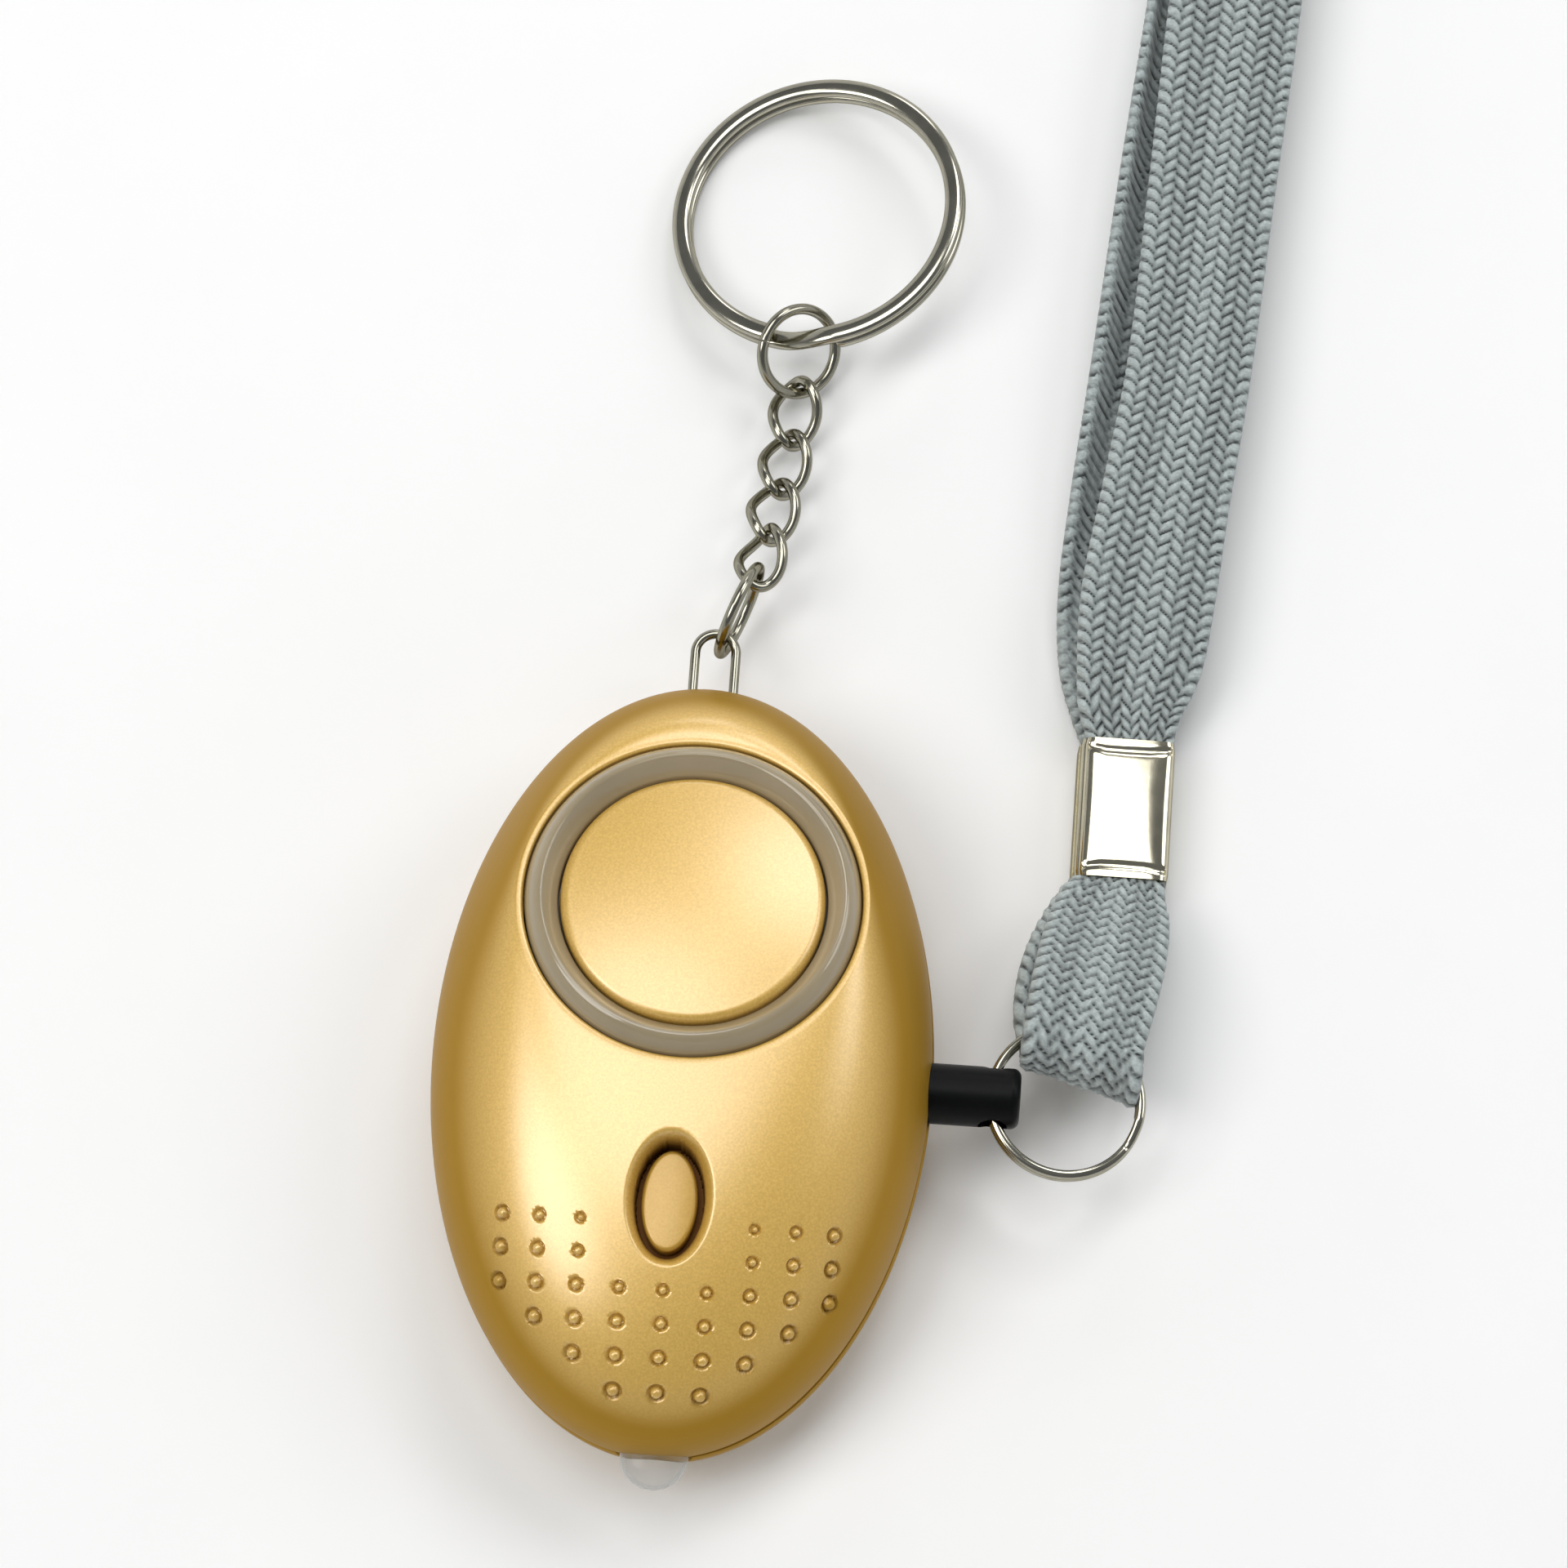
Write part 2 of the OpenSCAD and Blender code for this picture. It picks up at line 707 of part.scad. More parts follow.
// Step-up coil: a bobbin with a wound waist
module boost_coil() {
    coil_r = 2.8;
    coil_h = 3.6;
    rim = 0.6;
    coil_edge = 0.5;
    waist = coil_r - coil_edge;
    coil_x = 7.4;
    coil_y = -7.4;
    color(copper) translate([coil_x, coil_y, board_top]) rotate_extrude()
        polygon([[0, 0], [coil_r, 0], [coil_r, rim], [waist, rim], [waist, coil_h - rim],
                 [coil_r, coil_h - rim], [coil_r, coil_h], [0, coil_h]]);
}

module strobe_leds() {
    lamp_len = 3;
    lamp_wid = 2.6;
    lamp_h = 1.6;
    lamp_x = 9;
    lamp_y = -2.6;
    for (side = [-1, 1])
        color(cream) translate([side * lamp_x - lamp_len / 2, lamp_y, board_top])
            cube([lamp_len, lamp_wid, lamp_h]);
}

// Clear LED with a domed tip and a rim that the shells grip
module torch_led() {
    color([0.88, 0.90, 0.92]) translate([0, 0, part_z]) {
        translate([0, led_root, 0]) rotate([90, 0, 0]) cylinder(r = led_r + led_rim, h = led_rim_t);
        translate([0, led_root, 0]) rotate([90, 0, 0]) cylinder(r = led_r, h = led_root - led_mid);
        translate([0, led_mid, 0]) rotate([90, 0, 0]) rotate_extrude()
            polygon(concat([[0, 0]],
                [for (i = [0 : 12])
                    let (a = 90 * i / 12)
                    [led_r * cos(a), led_r * sin(a)]]));
    }
}

// Two wires from the LED back and up to the board
module led_leads() {
    color(nickel) for (side = [-1, 1]) {
        translate([side * lead_x, led_root, part_z]) rotate([-90, 0, 0])
            cylinder(r = lead_r, h = lead_turn - led_root);
        translate([side * lead_x, lead_turn, part_z - lead_r])
            cylinder(r = lead_r, h = board_z - part_z + lead_r);
    }
}

// Wire loop with two toes that lock it between the shells
module bail() {
    r = bail_wire / 2;
    color(nickel) translate([0, 0, part_z]) {
        for (side = [-1, 1]) {
            translate([side * bail_r, bail_foot, 0]) rotate([-90, 0, 0])
                cylinder(r = r, h = bail_arch - bail_foot);
            translate([side * bail_r, bail_foot, 0]) sphere(r = r);
            translate([side * bail_r, bail_foot, 0]) rotate([0, side * 90, 0]) cylinder(r = r, h = bail_toe);
        }
        translate([0, bail_arch, 0]) rotate_extrude(angle = 180) translate([bail_r, 0]) circle(r = r);
    }
}

// Places a chain element: its length along local X, its right along local Y turned down, Z up
module on_chain(i) {
    translate(chain_mid(i)) rotate([0, 0, 90 - chain_turn[i]]) rotate([0, -chain_lift[i], 0])
        rotate([-chain_roll[i], 0, 0]) children();
}

// Round jump ring with a fine slit
module jump_ring(d, wire, slit_at) {
    slit = 3;
    rotate([0, 0, slit_at + slit / 2]) rotate_extrude(angle = 360 - slit)
        translate([(d - wire) / 2, 0]) circle(d = wire);
}

module lower_jump_ring() {
    color(nickel) on_chain(0) jump_ring(lower_jump_d, jump_wire, lower_slit);
}

module upper_jump_ring() {
    color(nickel) on_chain(5) jump_ring(upper_jump_d, jump_wire, upper_slit);
}

// Tube skin through rings of points, closed on itself or capped at both ends
module tube(rings, closed) {
    count = len(rings);
    sides = len(rings[0]);
    last = closed ? count - 1 : count - 2;
    walls = [for (i = [0 : last], j = [0 : sides - 1])
        let (a = i * sides + j,
             b = i * sides + (j + 1) % sides,
             c = ((i + 1) % count) * sides + (j + 1) % sides,
             d = ((i + 1) % count) * sides + j)
        each [[a, b, c], [a, c, d]]];
    start_cap = [for (j = [1 : sides - 2]) [0, j + 1, j]];
    end_base = (count - 1) * sides;
    end_cap = [for (j = [1 : sides - 2]) [end_base, end_base + j, end_base + j + 1]];
    polyhedron(points = [for (r = rings) each r],
               faces = closed ? walls : concat(walls, start_cap, end_cap));
}

function unit(v) = v / norm(v);

// Twisted oval: the two ends lean opposite ways about the chain's line
function link_point(a) =
    let (w = -(link_wid - link_wire) / 2 * sin(a), lean = link_twist * cos(a))
    [(link_len - link_wire) / 2 * cos(a), w * cos(lean), -w * sin(lean)];

function link_ring(a) =
    let (p = link_point(a),
         t = unit(link_point(a + 1) - link_point(a - 1)),
         n = unit(p - (p * t) * t),
         b = cross(t, n))
    [for (j = [0 : link_sides - 1])
        let (s = 360 * j / link_sides)
        p + link_wire / 2 * (cos(s) * n + sin(s) * b)];

module curb_link(i) {
    color(nickel) on_chain(i)
        tube([for (k = [0 : link_steps - 1]) link_ring(360 * k / link_steps)], true);
}

module chain_link_1() { curb_link(1); }
module chain_link_2() { curb_link(2); }
module chain_link_3() { curb_link(3); }
module chain_link_4() { curb_link(4); }

// Two-turn split ring: the wire climbs from the lower coil to the upper one in a short arc
function climb_share(a) = max(0, min(1, (a - (360 - climb)) / climb));

function split_ring_at(a, mid_r, wire, thick, step) =
    let (z = step * (climb_share(a) - 0.5))
    [for (j = [0 : split_sides - 1])
        let (s = 360 * j / split_sides,
             r = mid_r + wire / 2 * cos(s))
        [r * cos(a), r * sin(a), z + thick / 2 * sin(s)]];

module split_ring(d, wire, thick) {
    span = 720 - climb - end_room;
    count = 2 * split_steps;
    step = thick + coil_gap;
    tube([for (k = [0 : count]) split_ring_at(span * k / count, (d - wire) / 2, wire, thick, step)], false);
}

module key_ring() {
    color(nickel) on_chain(6) rotate([0, 0, key_ring_end])
        split_ring(key_ring_d, key_ring_wire, key_ring_thick);
}

module pin_ring() {
    color(nickel) translate(pin_ring_mid) rotate([0, pin_ring_droop, 0]) rotate([0, 0, pin_ring_end])
        split_ring(pin_ring_d, pin_ring_wire, pin_ring_thick);
}

// Pull pin: round grip with a cross hole, and a flat tongue that parts the contacts
module pull_pin() {
    color(black) {
        difference() {
            translate([pin_inner, 0, part_z]) rotate([0, 90, 0]) rotate_extrude()
                polygon(concat(
                    [[0, 0], [pin_r - pin_lead_in, 0], [pin_r, pin_lead_in]],
                    [for (i = [0 : 4])
                        let (a = 90 * i / 4)
                        [pin_r - pin_edge + pin_edge * cos(a),
                         pin_tip - pin_inner - pin_edge + pin_edge * sin(a)]],
                    [[0, pin_tip - pin_inner]]));
            translate([pin_hole_x, far, part_z]) rotate([90, 0, 0]) cylinder(d = pin_hole_d, h = 2 * far);
        }
        translate([pin_inner - tongue_len, -tongue_w / 2, part_z - tongue_t / 2])
            cube([tongue_len + skim, tongue_w, tongue_t]);
    }
}

// Spring leaves above and below the tongue, hung from the board
module pin_contact_upper() {
    z = part_z + tongue_t / 2 + leaf_gap;
    color(brass) {
        translate([leaf_x, -tongue_w / 2 + leaf_in, z]) cube([leaf_len, tongue_w - 2 * leaf_in, leaf_t]);
        translate([leaf_x, -tongue_w / 2 + leaf_in, z]) cube([leaf_t, tongue_w - 2 * leaf_in, board_z - z]);
    }
}

module pin_contact_lower() {
    z = part_z - tongue_t / 2 - leaf_gap - leaf_t;
    side = tongue_w / 2 + leaf_side;
    color(brass) {
        translate([leaf_x, -tongue_w / 2 + leaf_in, z])
            cube([leaf_len, tongue_w / 2 - leaf_in + side + leaf_t, leaf_t]);
        translate([leaf_x, side, z]) cube([leaf_len, leaf_t, board_z - z]);
    }
}

module battery_cells() {
    places = [[-cell_pair_x, cell_pair_y], [cell_pair_x, cell_pair_y], [0, cell_third_y]];
    color([0.82, 0.82, 0.80])
        for (p = places) translate([p[0], p[1], cell_z]) cylinder(r = cell_r, h = cell_h);
}

// Pad on the first cell with a tab up to the board
module battery_contact_positive() {
    color(brass) translate([-cell_pair_x, cell_pair_y, cell_top]) {
        cylinder(r = pad_r, h = contact_t);
        translate([-tab_w / 2, -contact_t / 2, 0]) cube([tab_w, contact_t, board_z - cell_top]);
    }
}

// Strip below the last cell with a tab beside it up to the board
module battery_contact_negative() {
    tab_out = 1.2;
    reach = cell_r + tab_out;
    color(brass) translate([0, cell_third_y, wall]) {
        cylinder(r = pad_r, h = contact_t);
        translate([0, -tab_w / 2, 0]) cube([reach, tab_w, contact_t]);
        translate([reach - contact_t, -tab_w / 2, 0]) cube([contact_t, tab_w, board_z - wall]);
    }
}

// Strip below the first two cells and strip over the second and third
module battery_links() {
    across = [cell_pair_x, cell_pair_y - cell_third_y];
    color(nickel) {
        translate([-cell_pair_x, cell_pair_y - strip_w / 2, wall])
            cube([2 * cell_pair_x, strip_w, contact_t]);
        translate([0, cell_third_y, cell_top]) rotate([0, 0, atan2(across[1], across[0])])
            translate([0, -strip_w / 2, 0]) cube([norm(across), strip_w, contact_t]);
    }
}

// Four screws from the back, heads sunk in their wells
module case_screws() {
    slot = 0.45;
    slot_deep = 0.6;
    slot_reach = 0.6 * head_r;
    color(nickel) for (p = screw_places)
        translate([p[0], p[1], screw_seat]) difference() {
            union() {
                cylinder(r = screw_r, h = screw_len);
                translate([0, 0, -head_h]) cylinder(r = head_r, h = head_h);
            }
            for (turn = [0, 90])
                rotate([0, 0, turn]) translate([-slot_reach, -slot / 2, -head_h - cut])
                    cube([2 * slot_reach, slot, slot_deep + cut]);
        }
}

// Folded sheet sleeve round both layers of the strap, with its seam at the back
module strap_clasp() {
    color([0.86, 0.84, 0.78]) translate([clasp_x, clasp_y, clasp_z]) difference() {
        rotate([90, 0, 0]) linear_extrude(clasp_len, center = true) difference() {
            round_slab(clasp_w, clasp_h, clasp_round);
            square([clasp_in_w, clasp_in_h], center = true);
        }
        translate([-clasp_seam / 2, -clasp_len, -clasp_h])
            cube([clasp_seam, 2 * clasp_len, clasp_h - clasp_in_h / 2 + fit]);
    }
}

// Rectangle with round corners
module round_slab(w, h, r) {
    square([w - 2 * r, h], center = true);
    square([w, h - 2 * r], center = true);
    for (x = [-1, 1], y = [-1, 1]) translate([x * (w / 2 - r), y * (h / 2 - r)]) circle(r = r);
}

// Flat strap swept along a route, with its face turned, leaned and cupped by the route's last values
function strap_ring(route, i) =
    let (p = [for (k = [0 : 2]) route[i][k]],
         before = route[max(0, i - 1)],
         after = route[min(len(route) - 1, i + 1)],
         t = unit([for (k = [0 : 2]) after[k] - before[k]]),
         turn = route[i][4],
         cup = len(route[i]) > 5 ? route[i][5] : 0,
         face = [cos(turn), -sin(turn), -cup * tan(pin_ring_droop)],
         side = unit(face - (face * t) * t),
         rise = cross(side, t),
         pull = [-sin(turn), -cos(turn), 0],
         first = 180 / strap_sides)
    [for (j = [0 : strap_sides - 1])
        let (s = 360 * j / strap_sides + first,
             c = cos(s),
             d = sin(s),
             across = sign(c) * pow(abs(c) / cos(first), edge_power),
             over = sign(d) * pow(abs(d) / cos(first), face_power))
        p + route[i][3] / 2 * across * side + strap_thick / 2 * over * rise
          + cup * fold_bow * across * across * pull];

module strap(route) {
    tube([for (i = [0 : len(route) - 1]) strap_ring(route, i)], false);
}

module wrist_strap() { color(grey) strap(wrist_route); }
module ring_strap_loop() { color(grey) strap(loop_route); }

front_shell();
back_shell();
light_ring();
siren_cap();
lamp_button();
torch_led();
led_leads();
bail();
lower_jump_ring();
chain_link_1();
chain_link_2();
chain_link_3();
chain_link_4();
upper_jump_ring();
key_ring();
pull_pin();
pin_ring();
ring_strap_loop();
strap_clasp();
wrist_strap();
circuit_board();
tact_switch();
switch_plunger();
driver_chip();
boost_coil();
piezo_plate();
piezo_ceramic();
sound_chamber();
strobe_leds();
pin_contact_upper();
pin_contact_lower();
battery_cells();
battery_contact_positive();
battery_contact_negative();
battery_links();
piezo_leads();
case_screws();
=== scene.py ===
import functools

import bmesh
import bpy
import numpy as np
from mathutils import Matrix


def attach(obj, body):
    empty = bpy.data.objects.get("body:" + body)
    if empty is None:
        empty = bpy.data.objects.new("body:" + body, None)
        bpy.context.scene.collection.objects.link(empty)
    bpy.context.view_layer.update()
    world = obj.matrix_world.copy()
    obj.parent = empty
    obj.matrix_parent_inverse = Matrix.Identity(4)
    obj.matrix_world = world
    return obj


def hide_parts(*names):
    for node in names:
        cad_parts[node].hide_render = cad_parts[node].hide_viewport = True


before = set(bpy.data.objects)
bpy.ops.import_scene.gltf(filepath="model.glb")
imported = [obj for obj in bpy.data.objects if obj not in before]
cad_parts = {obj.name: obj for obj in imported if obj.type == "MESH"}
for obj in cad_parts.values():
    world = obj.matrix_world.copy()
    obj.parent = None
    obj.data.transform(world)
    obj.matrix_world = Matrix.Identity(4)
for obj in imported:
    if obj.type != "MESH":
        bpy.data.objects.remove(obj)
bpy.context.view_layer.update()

bl_info = {
    "name": "Personal Safety Alarm Dresser",
    "version": (1, 0, 0),
    "blender": (4, 5, 0),
    "location": "View3D > Sidebar > Alarm",
    "description": "Dresses the packed safety alarm with its finished surfaces and materials",
    "category": "Object",
}

MM = 0.001
UP = np.array([[0.0, 0.0, 1.0]])

# Case, in millimetres: the solids' sizes, with the middle of each half shifted a little
HALF_WID = 20.5
HALF_LEN = 32.35
FRONT_MID = (-0.15, 0.45)
BACK_MID = (0.03, 0.32)
PART_Z = 8.0
FRONT_H = 12.0
FRONT_ROUND = 2.4
BACK_H = 9.0
BACK_ROUND = 2.6
WALL = 1.6
SIREN_Y = 12.5
SIREN_Z = 17.9
SIREN_TILT = np.radians(8.5)
SIREN_R = 13.8
RIM_R = 14.4
BUTTON_Y = -12.7
BUTTON_HALF = (2.25, 4.15)
HOLE_HALF = (2.85, 4.75)
WELL_FLOOR = 16.3
PIN_R = 2.5
LED_R = 2.8
LED_TOP = 1.5
FIT = 0.05
PIN_TIP = 27.7
PIN_INNER = 13.5
PIN_HOLE_X = 25.55
PIN_HOLE_R = 1.25
TONGUE_X = 6.5
TONGUE_HALF = (1.5, 0.8)
SCREWS = [(sx * x, y) for x, y in ((9.0, -21.5), (10.5, 23.5)) for sx in (-1, 1)]
SCREW_WELL_R = 1.8
SCREW_WELL_TOP = 4.7
BOSS_R = 2.8
BOSS_FLOOR = 5.6

# Grip beads: pitch across and down, first row, squeeze of the outer columns, bow of the rows and radius
BEAD_PITCH = (3.53, 2.6)
BEAD_FIRST = -14.8
BEAD_SQUEEZE = 0.012
BEAD_BOW = 0.003
BEAD_R = 0.35
BEAD_GROWTH = 0.19

# Chain: sizes, wires and aims of the seven elements from the lower jump ring to the key ring
LINK_GAP = 0.26
KEY_SLACK = 1.2
CHAIN_SIZE = (8.8, 6.8, 6.8, 6.8, 6.8, 8.2, 25.5)
CHAIN_WIRE = (0.9, 0.85, 0.85, 0.85, 0.85, 0.9, 1.6)
CHAIN_TURN = (21, 8, 8, 8, 5, -5, 5)
CHAIN_LIFT = (-16, -17, -16, -10, 0, 30, -5)
CHAIN_ROLL = (90, 20, 0, 0, 0, -31, 13)
LINK_FULL = 0.9
LINK_WIDE = 4.6
LINK_TWIST = np.radians(45)
KEY_WIRE = (1.6, 1.0)
PIN_RING = (13.2, 0.8, 0.7)
BAIL_TIP = 38.5
BAIL_FOOT = 28.5
BAIL_WIRE = 0.8
BAIL_R = 1.7
RING_DROOP = np.radians(6)

# Clasp and strap
CLASP = (34.8, 26.4, 2.45)
CLASP_LEN = 12.0
STRAP_T = 1.8
NECK = 7.2
LAYER = 0.95
FOLD = (32.6, 5.0, 7.259)
FOLD_R = 2.5


def upper_layer(y):
    return (CLASP[0] + 0.35, y, CLASP[2] + LAYER, NECK, 0)


def lower_layer(y):
    return (CLASP[0], y, CLASP[2] - LAYER, NECK, 0)


# Routes: place, width and turn of the strap's face, then the share of the fold's cup, and the height
# to which the left edge curls with the place across where the curl starts
WRIST_ROUTE = [
    upper_layer(26.4), upper_layer(32.4),
    (35, 35.6, 4.2, 9, 2), (35.5, 39.5, 4.9, 10.6, 4), (35.9, 45, 5.2, 11.2, 4), (36.9, 54, 5.2, 10.8, 4),
    (38.2, 65, 5.1, 10.5, 4), (39.3, 82, 5, 10.8, 4), (40.4, 99, 4.9, 11.3, 4), (41.6, 118, 4.9, 11, 4),
    (42.7, 136, 4.9, 11, 4), (43.6, 150, 4.9, 10.8, 4), (43.9, 155, 4.7, 10.8, 4), (44.05, 157.5, 4, 10.8, 4),
    (44.1, 158.3, 3, 10.8, 4), (44, 157.5, 2, 10.8, 4), (43.8, 155, 1.3, 10.8, 4, 0, 0, 0.8),
    (43.3, 150, 1.1, 10.8, 5, 0, 0.5, 0.75), (41.7, 136, 1.05, 10.8, 6, 0, 2.4, 0.75),
    (40, 118, 1.05, 10.8, 6, 0, 3.3, 0.75), (38.4, 100, 1.05, 10.8, 5, 0, 3.4, 0.74),
    (36.6, 82, 1.05, 10.6, 5, 0, 3.4, 0.6), (35.2, 65, 1.05, 10.6, 4, 0, 3.1, 0.52),
    (34.3, 54, 1.05, 10.8, 3, 0, 2.2, 0.6), (33.8, 45, 1.05, 10.8, 0, 0, 0.8, 0.65),
    (33.9, 39.5, 1.05, 10, -2), (34.4, 35.6, 1.2, 8.6, -2), lower_layer(32.4), lower_layer(26.4)]
FOLD_ROUTE = [(FOLD[0], FOLD[1] - FOLD_R * np.sin(a), FOLD[2] + FOLD_R * np.cos(a), 10.0, 15, 1)
              for a in np.radians(np.arange(0, 181, 30))]
LOOP_ROUTE = [
    upper_layer(26.4), upper_layer(20.4), (34.5, 17.6, 4.6, 9.4, 2), (33.9, 13.6, 6.8, 10.4, 5, 0.2),
    (33.2, 9.2, 9, 10.4, 10, 0.6), *FOLD_ROUTE, (31.8, 8.6, FOLD[2] - 2.9, 10.0, 10, 0.6),
    (32.2, 12.6, 3.6, 9.8, 3, 0.2), (33.6, 17.2, 2.1, 8.8, 1), lower_layer(20.4), lower_layer(26.4)]
FOLD_BOW = 0.25

# Stitches: steps to a column on the upper face, an edge and the lower face, then their slant, their reach
# past the column, how unevenly they lie and stand, and the waves of strands across each
STEPS = (5, 4, 3)
SLANT = 0.37
REACH = 1.22
WANDER = 0.07
LUMPS = 0.12
STRANDS = 5

# Camera: place in metres, turn and rise in degrees, and lens
CAMERA_AT = (0.0172, -0.1264, 0.539)
CAMERA_TURN = 4.05
CAMERA_RISE = 74.0
CAMERA_LENS = 152.65
SENSOR = 36.0

# Lamps: name, place in metres, size, power and colour, then the point they look at and the world
LAMPS = (
    ("key", (-0.72, -0.15, 1.05), 0.70, 5.6, (1.0, 0.99, 0.97)),
    ("top", (-0.18, 0.26, 1.22), 0.70, 4.2, (1.0, 1.0, 1.0)),
    ("sheen", (0.29, 0.78, 1.00), 0.50, 3.0, (1.0, 1.0, 1.0)),
    ("fill", (0.88, 0.44, 0.86), 0.60, 2.7, (0.97, 0.985, 1.0)),
    ("rear", (0.0, 1.15, 0.60), 0.30, 0.7, (1.0, 1.0, 1.0)))
LAMP_AIM = (0.01, 0.03, 0.0)
WORLD_TONE = (0.93, 0.96, 1.0, 1)
WORLD_LEVEL = 0.19


def size_setting(name, text, value, low=0.0):
    return bpy.props.FloatProperty(name=name, description=text + ", in millimetres", default=value, min=low)


def tone_setting(name, text, value):
    return bpy.props.FloatVectorProperty(
        name=name, description="Colour of " + text, subtype="COLOR", default=value)


class AlarmForm(bpy.types.PropertyGroup):
    """Sizes of the finished surfaces that a user would change."""
    bead_height: size_setting("Bead height", "Height of a grip bead", 0.26)
    moat_depth: size_setting("Moat depth", "Depth of the groove round a bead", 0.28, 0.01)
    bevel_depth: size_setting("Recess depth", "Depth of the button's bevelled recess", 1.0)
    cap_rise: size_setting("Cap crown", "Crown of the siren cap, or its dish where below zero", 0.7, -1.0)
    braid_pitch: size_setting("Braid pitch", "Length of one stitch along the strap", 1.12, 0.3)
    braid_relief: size_setting("Braid relief", "Height of a stitch", 0.6)
    braid_columns: bpy.props.IntProperty(
        name="Braid columns", description="Columns of stitches across one face of the strap",
        default=9, min=4)


class AlarmFinish(bpy.types.PropertyGroup):
    """Colours of the finishes."""
    gold: tone_setting("Gold paint", "the metallic paint", (0.68, 0.41, 0.062))
    gold_flake: tone_setting("Gold flake", "the paint's bright flakes", (0.80, 0.51, 0.10))
    # Painted shade on steep walls; the button's face also takes this darker gold
    gold_shade_and_dull: tone_setting("Shade and dull gold", "the thin paint on steep walls", (0.37, 0.205, 0.02))
    # Painted shade in the button's well, on its bevel and in the bead moats
    gold_recess_shade: tone_setting("Recess shade", "the wall down the button's well", (0.14, 0.056, 0.011))
    smoke: tone_setting("Light ring", "the light ring", (0.30, 0.245, 0.155))
    nickel: tone_setting("Nickel", "the bail and the chain", (0.36, 0.345, 0.28))
    bright: tone_setting("Bright nickel", "the split rings", (0.48, 0.46, 0.38))
    clasp: tone_setting("Clasp", "the clasp's sheet", (0.64, 0.60, 0.46))
    braid: tone_setting("Braid", "the strap's yarn", (0.41, 0.46, 0.455))
    black: tone_setting("Pin", "the pull pin", (0.003, 0.0033, 0.0035))
    floor: tone_setting("Floor", "the floor", (0.93, 0.93, 0.925))


def form():
    return bpy.context.scene.alarm_form


def finish():
    return bpy.context.scene.alarm_finish


def smooth(x):
    """Smooth step from 0 to 1: three x squared less two x cubed."""
    t = np.clip(x, 0, 1)
    return t * t * (3 - 2 * t)


def unit(v):
    return v / np.linalg.norm(v, axis=-1, keepdims=True)


def joined(*parts):
    """Points from their coordinates, each stretched to the shape of all."""
    return np.stack(np.broadcast_arrays(*parts), -1)


def even(start, end, count):
    """Even steps from a start up to an end, without the end itself."""
    return np.linspace(start, end, count, endpoint=False)


def turns(count):
    """Angles of one full turn in even steps."""
    return even(0, 2 * np.pi, count)


def crowded(share, count):
    """Numbers over the last share of the way to 1, ever closer towards 1."""
    return 1 - share * (1 - np.linspace(0, 1, count)) ** 2.2


def arc(centre, radius, start, end, count):
    """Points on an arc, as radius and height, between two angles in degrees."""
    a = np.radians(np.linspace(start, end, count))
    return joined(centre[0] + radius * np.cos(a), centre[1] + radius * np.sin(a))


def grid_quads(rows, cols, wrap_rows=False):
    """Quads of a grid of points, joined round along each row, and round the rows where they wrap."""
    r = np.arange(rows if wrap_rows else rows - 1)[:, None]
    c = np.arange(cols)[None, :]
    right = (c + 1) % cols
    below = ((r + 1) % rows) * cols
    return joined(r * cols + c, r * cols + right, below + right, below + c).reshape(-1, 4)


def fan(first, count, hub, flip):
    """Triangles from one row of a grid to a hub point."""
    a = first + np.arange(count)
    b = first + (np.arange(count) + 1) % count
    hubs = np.full(count, hub)
    return np.stack([b, a, hubs] if flip else [a, b, hubs], -1)


def linked(name, data):
    """Object in the scene that shows a mesh, a lamp or a camera."""
    made = bpy.data.objects.new(name, data)
    bpy.context.scene.collection.objects.link(made)
    return made


def skin(name, points, quads, tris=None, uv=None, values=None, sharp=0.7):
    """Mesh object from points in millimetres: doubles are merged and faces turned outwards."""
    points = np.asarray(points, float).reshape(-1, 3) * MM
    tris = np.zeros((0, 3), int) if tris is None else np.asarray(tris)
    loops = np.concatenate([quads.ravel(), tris.ravel()]).astype(np.int32)
    starts = np.concatenate([np.arange(len(quads)) * 4, quads.size + np.arange(len(tris)) * 3])
    mesh = bpy.data.meshes.new(name)
    mesh.vertices.add(len(points))
    mesh.vertices.foreach_set("co", points.astype(np.float32).ravel())
    mesh.loops.add(len(loops))
    mesh.loops.foreach_set("vertex_index", loops)
    mesh.polygons.add(len(starts))
    mesh.polygons.foreach_set("loop_start", starts.astype(np.int32))
    mesh.update(calc_edges=True)
    if uv is not None:
        layer = mesh.uv_layers.new(name="Along")
        layer.data.foreach_set("uv", np.asarray(uv, np.float32).reshape(-1, 2)[loops].ravel())
    for key, data in (values or {}).items():
        attribute = mesh.attributes.new(key, "FLOAT", "POINT")
        attribute.data.foreach_set("value", np.asarray(data, np.float32).ravel())
    work = bmesh.new()
    work.from_mesh(mesh)
    bmesh.ops.remove_doubles(work, verts=work.verts, dist=1e-6)
    bmesh.ops.dissolve_degenerate(work, edges=work.edges, dist=1e-7)
    bmesh.ops.recalc_face_normals(work, faces=work.faces)
    work.to_mesh(mesh)
    work.free()
    mesh.shade_smooth()
    if sharp:
        mesh.set_sharp_from_angle(angle=sharp)
    return linked(name, mesh)


def dress(piece, material, body, nodes):
    """Gives a piece its material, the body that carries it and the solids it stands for."""
    piece.data.materials.append(material)
    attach(piece, body)
    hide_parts(*nodes)


def shell(name, grid, material, body, nodes, closed=False, values=None, sharp=0.8):
    """Piece over a grid of points, with its rows joined round where it is closed, then dressed."""
    piece = skin(name, grid, grid_quads(*grid.shape[:2], wrap_rows=closed), values=values, sharp=sharp)
    dress(piece, material, body, nodes)


